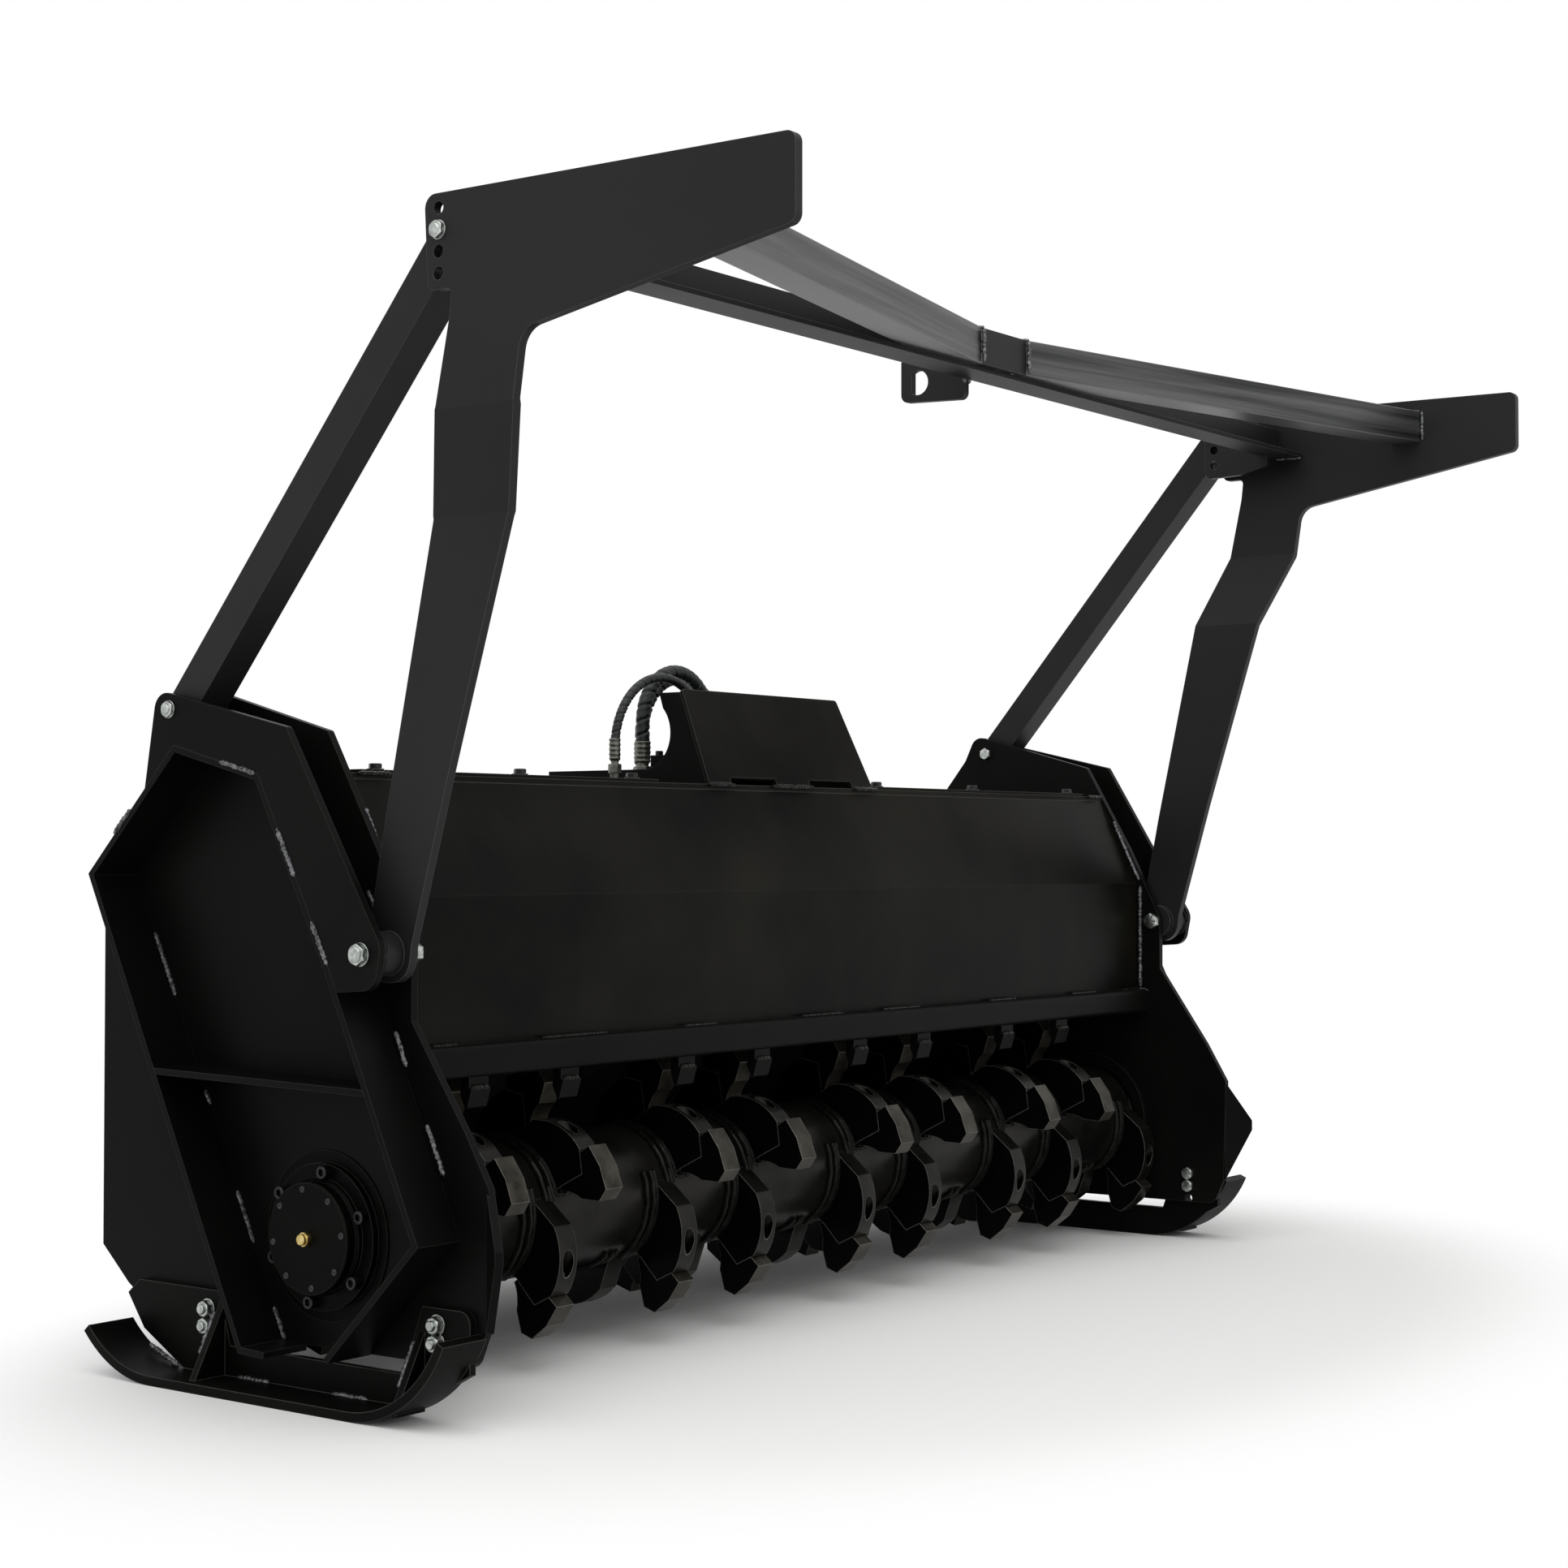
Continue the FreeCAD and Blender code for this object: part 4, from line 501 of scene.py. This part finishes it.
def fitting(radius):
    """Adapter in the port, swivel nut, neck, then a long crimped sleeve over the hose's end."""
    flats = 1.9 * (radius + 2.5)
    rows = [(-1.0, radius + 0.5, 0), (16.0, radius + 0.5, 0)] + hex_nut(flats, 14.0, 16.0)
    rows += [(30.0, radius - 1.0, 0), (35.0, radius - 1.0, 0), (36.0, radius + 1.2, 0)]
    for k in range(4):
        h = 38.0 + 7.0 * k
        rows += [(h, radius + 2.0, 0), (h + 1.2, radius + 1.3, 0), (h + 4.0, radius + 1.3, 0),
                 (h + 5.2, radius + 2.0, 0)]
    return rows + [(66.0, radius + 2.0, 0), (67.0, radius + 1.2, 0)]


for name, radius, y, x0, x1, crown in HOSES:
    piece("wrapped_" + name, [wrapped_hose(radius, y, x0, x1, crown)], hose_cover, "head",
          sharp_deg=60.0, stands_for=(name,))
hose_ends = [turned(fitting(radius), [(x0, y, LEFT_FOOT), (x1, y, RIGHT_FOOT)], (0, 0, 1))
             for name, radius, y, x0, x1, crown in HOSES]
piece("crimped_fittings", hose_ends, fitting_zinc, "head", stands_for=("hose_fittings",))

# Weld beads. A seam is the X, Y, Z of its two ends.

# End pocket, on the left side; the right is its mirror image.
POCKET_SEAMS = (
    (924.5, 326.0, 567.0, 924.5, 284.0, 485.0), (924.5, 165.0, 244.0, 924.5, 133.0, 180.0),
    (924.5, 226.0, 368.0, 924.5, 216.0, 349.0),
    (924.5, 96.0, 105.0, 924.5, 76.0, 66.0), (924.5, 94.0, 391.0, 924.5, 33.0, 391.0),
    (924.5, -114.5, 456.0, 924.5, -133.0, 413.0), (924.5, -167.0, 347.6, 924.5, -196.0, 287.0),
    (995.0, 18.0, 700.0, 995.0, -14.0, 641.0), (995.0, -43.0, 588.0, 995.0, -71.0, 536.0),
    (995.0, 122.0, 783.0, 995.0, 58.0, 767.0), (995.0, 322.0, 694.0, 995.0, 290.0, 725.0),
    (924.5, -100.0, 560.0, 924.5, -66.0, 625.0), (985.5, 330.0, 690.0, 985.5, 240.0, 775.0),
)
SKID_SEAMS = (
    (935.0, 318.0, 36.0, 935.0, 262.0, 14.0), (935.0, 150.0, 12.5, 935.0, 90.0, 12.5),
    (935.0, -20.0, 12.5, 935.0, -80.0, 12.5), (936.0, 190.5, 92.0, 962.0, 190.5, 40.0),
    (936.0, -159.5, 92.0, 962.0, -159.5, 40.0), (940.0, 179.5, 12.5, 978.0, 179.5, 12.5),
    (940.0, -170.5, 16.0, 978.0, -170.5, 16.0), (935.0, -160.0, 20.0, 935.0, -225.0, 60.0),
)


def both_sides(seams):
    """Seams and their mirror images across the middle of the head."""
    seams = [np.asarray(seam, float) for seam in seams]
    flip = np.array((-1.0, 1, 1, -1, 1, 1))
    return seams + [seam * flip for seam in seams]


piece("pocket_welds", beads(both_sides(POCKET_SEAMS), 3.4), weld_bead, "head")
piece("skid_welds", beads(both_sides(SKID_SEAMS), 3.6), weld_bead, "head")

# Hood: stitches along its foot on the bar, along the deck's front edge and up its two ends.
HOOD_FOOT_X = ((-849, -806), (-649, -521), (-359, -287), (-87, 15), (121, 220), (420, 500),
               (680, 760), (851, 908))
DECK_EDGE_X = ((-905, -850), (-211, -150), (-60, 42), (150, 212), (860, 905))
DECK_EDGE_Y = -30.0
foot_z, edge_z = BAR_TOP_Z + 0.5, DECK_TOP - 1.0
hood_seams = [(a, HOOD_FACE_Y, foot_z, b, HOOD_FACE_Y, foot_z) for a, b in HOOD_FOOT_X]
hood_seams += [(a, DECK_EDGE_Y, edge_z, b, DECK_EDGE_Y, edge_z) for a, b in DECK_EDGE_X]
HOOD_END_SEAMS = (
    (914.0, -103.0, 434.0, 914.0, -103.0, 612.0), (914.0, -101.0, 621.0, 914.0, -50.0, 725.0),
    (914.0, -118.0, 428.0, 914.0, -84.0, 431.5),
)
piece("hood_welds", beads(hood_seams, 3.0), rotor_weld, "head")
piece("hood_end_welds", beads(both_sides(HOOD_END_SEAMS), 3.4), weld_bead, "head")

# Guard: round its foot.
GUARD_SEAMS = ((205.0, -24.0, 770.0, 152.0, -24.0, 770.0), (40.0, -24.0, 770.0, 4.0, -24.0, 770.0))
piece("guard_welds", beads(both_sides(GUARD_SEAMS), 2.8), rotor_weld, "head")

# Push frame: round the tubes' ends, and the angle and lugs on the arms.
FRAME_SEAMS = (
    (60.0, -402.0, 1360.0, 60.0, -402.0, 1407.0), (60.0, -402.0, 1408.8, 60.0, -350.0, 1408.8),
    (982.5, -604.0, 1360.0, 982.5, -604.0, 1408.0), (982.5, -600.0, 1409.0, 982.5, -550.0, 1409.0),
    (983.0, -335.0, 1352.0, 983.0, -383.0, 1351.0), (983.0, -334.0, 1354.0, 983.0, -334.0, 1400.0),
    (914.0, -333.0, 1360.0, 914.0, -333.0, 1400.0), (6.0, -333.5, 1345.0, 6.0, -333.5, 1396.0),
)
piece("frame_welds", beads(both_sides(FRAME_SEAMS), 3.2), weld_bead, "push_frame")

# Arms' bosses: a ring bead where each meets its arm.
BOSS_R = 27.5
boss_rings = [arc_bead(side * ARM_INNER, BOSS_R, 0.0, 356.0, 3.6, centre=FRONT_PIVOT)
              for name, side in SIDES]
piece("boss_welds", boss_rings, rotor_weld, "push_frame")

# Anvils: one fat run across the joint of each body with its stem, and one along the back.
ANVIL_FIRST_X, ANVIL_PERIOD, ANVIL_GAP, ANVIL_PAIRS = -779.0, 412.0, 171.0, 4
anvil_face_y = BAR_FRONT_Y + 3.5
anvil_seams = []
for x in [ANVIL_FIRST_X + ANVIL_PERIOD * k + gap for k in range(ANVIL_PAIRS) for gap in (0.0, ANVIL_GAP)]:
    anvil_seams += [(x - 15.0, anvil_face_y, 378.0, x + 15.0, anvil_face_y, 378.0),
                    (x - 18.0, -98.0, 389.0, x + 18.0, -98.0, 389.0)]
piece("anvil_welds", beads(anvil_seams, 4.2), rotor_weld, "head")

# Rotor: tooth holders' first X, how many, their row (72 degrees apart) along the drum. Each has
# a fillet along both sides of its foot, and two hard-facing runs beside the left one.
RUNS = (
    (-769.0, 4, 0), (-592.0, 4, 0), (-814.0, 5, -1), (-637.0, 4, -1), (-859.0, 5, -2),
    (-682.0, 4, -2), (-658.0, 4, 2), (-503.0, 4, 2), (-724.0, 4, 1), (-547.0, 4, 1),
)
HOLDER_PERIOD = 424.0
FIRST_TIP_DEG, ROW_DEG, FOOT_DEG = 12.0, 72.0, 84.0
HARD_FACING_OFF = (8.0, 22.0)
DRUM_END_X = -880.0
holder_welds, root_seams, hard_facing = [], [], []
for first, count, row in RUNS:
    tip = FIRST_TIP_DEG + row * ROW_DEG
    for k in range(count):
        x = first + HOLDER_PERIOD * k
        left = x - HOLDER_WIDTH / 2
        holder_welds += [arc_bead(flank, DRUM_R + 1.0, tip + 5.0, tip + FOOT_DEG, 4.4)
                         for flank in (left, left + HOLDER_WIDTH)]
        root = math.radians(tip + 4.0)
        y, z = -DRUM_R * math.cos(root), AXIS_Z + DRUM_R * math.sin(root)
        root_seams.append((x - 17.0, y, z, x + 17.0, y, z))
        hard_facing += [arc_bead(left - off, DRUM_R + 2.5, tip - 2.0, tip + FOOT_DEG, 3.9)
                        for off in HARD_FACING_OFF if left - off > DRUM_END_X]
piece("holder_welds", holder_welds + beads(root_seams, 5.0, 9.0), rotor_weld, "rotor")
piece("drum_hard_facing", hard_facing, rotor_weld, "rotor")

# Floor, light and camera.

# Matt white paper under the machine. It keeps the shadow, and thins out to nothing from one
# oval round the machine to the next; past that the white of the room shows. The ovals are in
# shares of the machine's half length and half depth.
OVAL_X_M, OVAL_Y_M = 1.0, 0.65
PAPER_FULL, PAPER_GONE = 1.05, 1.60
reach = np.array((OVAL_X_M, OVAL_Y_M)) * PAPER_GONE
corners = np.array(((-1, -1), (1, -1), (1, 1), (-1, 1))) * reach
floor_mesh = bpy.data.meshes.new("studio_floor")
floor_mesh.from_pydata([(x, y, 0.0) for x, y in corners.tolist()], [], [(0, 1, 2, 3)])
floor = bpy.data.objects.new("studio_floor", floor_mesh)
bpy.context.scene.collection.objects.link(floor)

paper = bpy.data.materials.new("matt_white_paper")
paper.use_nodes = True
tree = paper.node_tree
shader = tree.nodes["Principled BSDF"]
shader.inputs["Base Color"].default_value = linear("#fcfcfb")
shader.inputs["Roughness"].default_value = 0.9
shader.inputs["Specular IOR Level"].default_value = 0.1
place = add(tree, "ShaderNodeTexCoord", {}).outputs["Object"]
oval = add(tree, "ShaderNodeVectorMath", {"operation": "DIVIDE", 1: (OVAL_X_M, OVAL_Y_M, 1.0)},
           [(0, place)])
far = add(tree, "ShaderNodeVectorMath", {"operation": "LENGTH"}, [(0, oval.outputs["Vector"])])
thinning = {"interpolation_type": "SMOOTHSTEP", "From Min": PAPER_FULL, "From Max": PAPER_GONE,
            "To Min": 1.0, "To Max": 0.0}
there = add(tree, "ShaderNodeMapRange", thinning, [("Value", far.outputs["Value"])])
tree.links.new(shader.inputs["Alpha"], there.outputs["Result"])
floor_mesh.materials.append(paper)

# The white room lights the machine at half strength, and is seen and mirrored at full strength.
WHITE = (1.0, 1.0, 1.0, 1.0)
ROOM_LIGHT, ROOM_SEEN = 0.5, 1.0
world = bpy.data.worlds.new("studio")
bpy.context.scene.world = world
world.use_nodes = True
tree = world.node_tree
room = tree.nodes["Background"]
room.inputs["Color"].default_value = WHITE
room.inputs["Strength"].default_value = ROOM_LIGHT
seen = add(tree, "ShaderNodeBackground", {"Color": WHITE, "Strength": ROOM_SEEN})
rays = add(tree, "ShaderNodeLightPath", {}).outputs
either = add(tree, "ShaderNodeMath", {"operation": "MAXIMUM"},
             [(0, rays["Is Camera Ray"]), (1, rays["Is Glossy Ray"])])
any_seen = add(tree, "ShaderNodeMath", {"operation": "MAXIMUM"},
               [(0, either.outputs["Value"]), (1, rays["Is Transmission Ray"])])
pick = add(tree, "ShaderNodeMixShader", {},
           [("Fac", any_seen.outputs["Value"]), (1, room.outputs["Background"]),
            (2, seen.outputs["Background"])])
tree.links.new(tree.nodes["World Output"].inputs["Surface"], pick.outputs["Shader"])

# Lamp, place in metres, what it points at, size in metres, power in watts.
LAMPS = (
    ("overhead_softbox", (-1.2, -1.0, 4.2), (0.0, 0.1, 0.4), 5.0, 110.0),
    ("front_softbox", (-1.8, -4.4, 2.2), (-0.4, 0.0, 0.6), 3.6, 26.0),
    ("left_softbox", (-4.6, -0.8, 2.2), (-0.6, 0.1, 0.7), 3.6, 16.0),
)
for name, spot, aim, size, power in LAMPS:
    lamp = bpy.data.lights.new(name, "AREA")
    lamp.shape = "SQUARE"
    lamp.size = size
    lamp.energy = power
    holder = bpy.data.objects.new(name, lamp)
    bpy.context.scene.collection.objects.link(holder)
    look = unit(np.array(aim) - np.array(spot))
    u, v = across(-look)
    holder.matrix_world = Matrix([(u[i], v[i], -look[i], spot[i]) for i in range(3)] + [(0, 0, 0, 1)])

# Camera where the photograph was taken: place in metres, turn from +Y towards +X and tilt up.
CAMERA_SPOT = (-3.206, -2.266, 0.6706)
CAMERA_TURN_DEG, CAMERA_TILT_DEG = 53.16, 1.47
FOCAL_PX, FRAME_PX, SENSOR_MM = 3274.8, 1932.0, 36.0
lens = bpy.data.cameras.new("photo_camera")
lens.sensor_width = SENSOR_MM
lens.lens = FOCAL_PX / FRAME_PX * SENSOR_MM
camera = bpy.data.objects.new("photo_camera", lens)
camera.location = CAMERA_SPOT
camera.rotation_euler = (math.radians(90.0 + CAMERA_TILT_DEG), 0.0, math.radians(-CAMERA_TURN_DEG))
bpy.context.scene.collection.objects.link(camera)
bpy.context.scene.camera = camera
bpy.context.scene.view_settings.view_transform = "Standard"
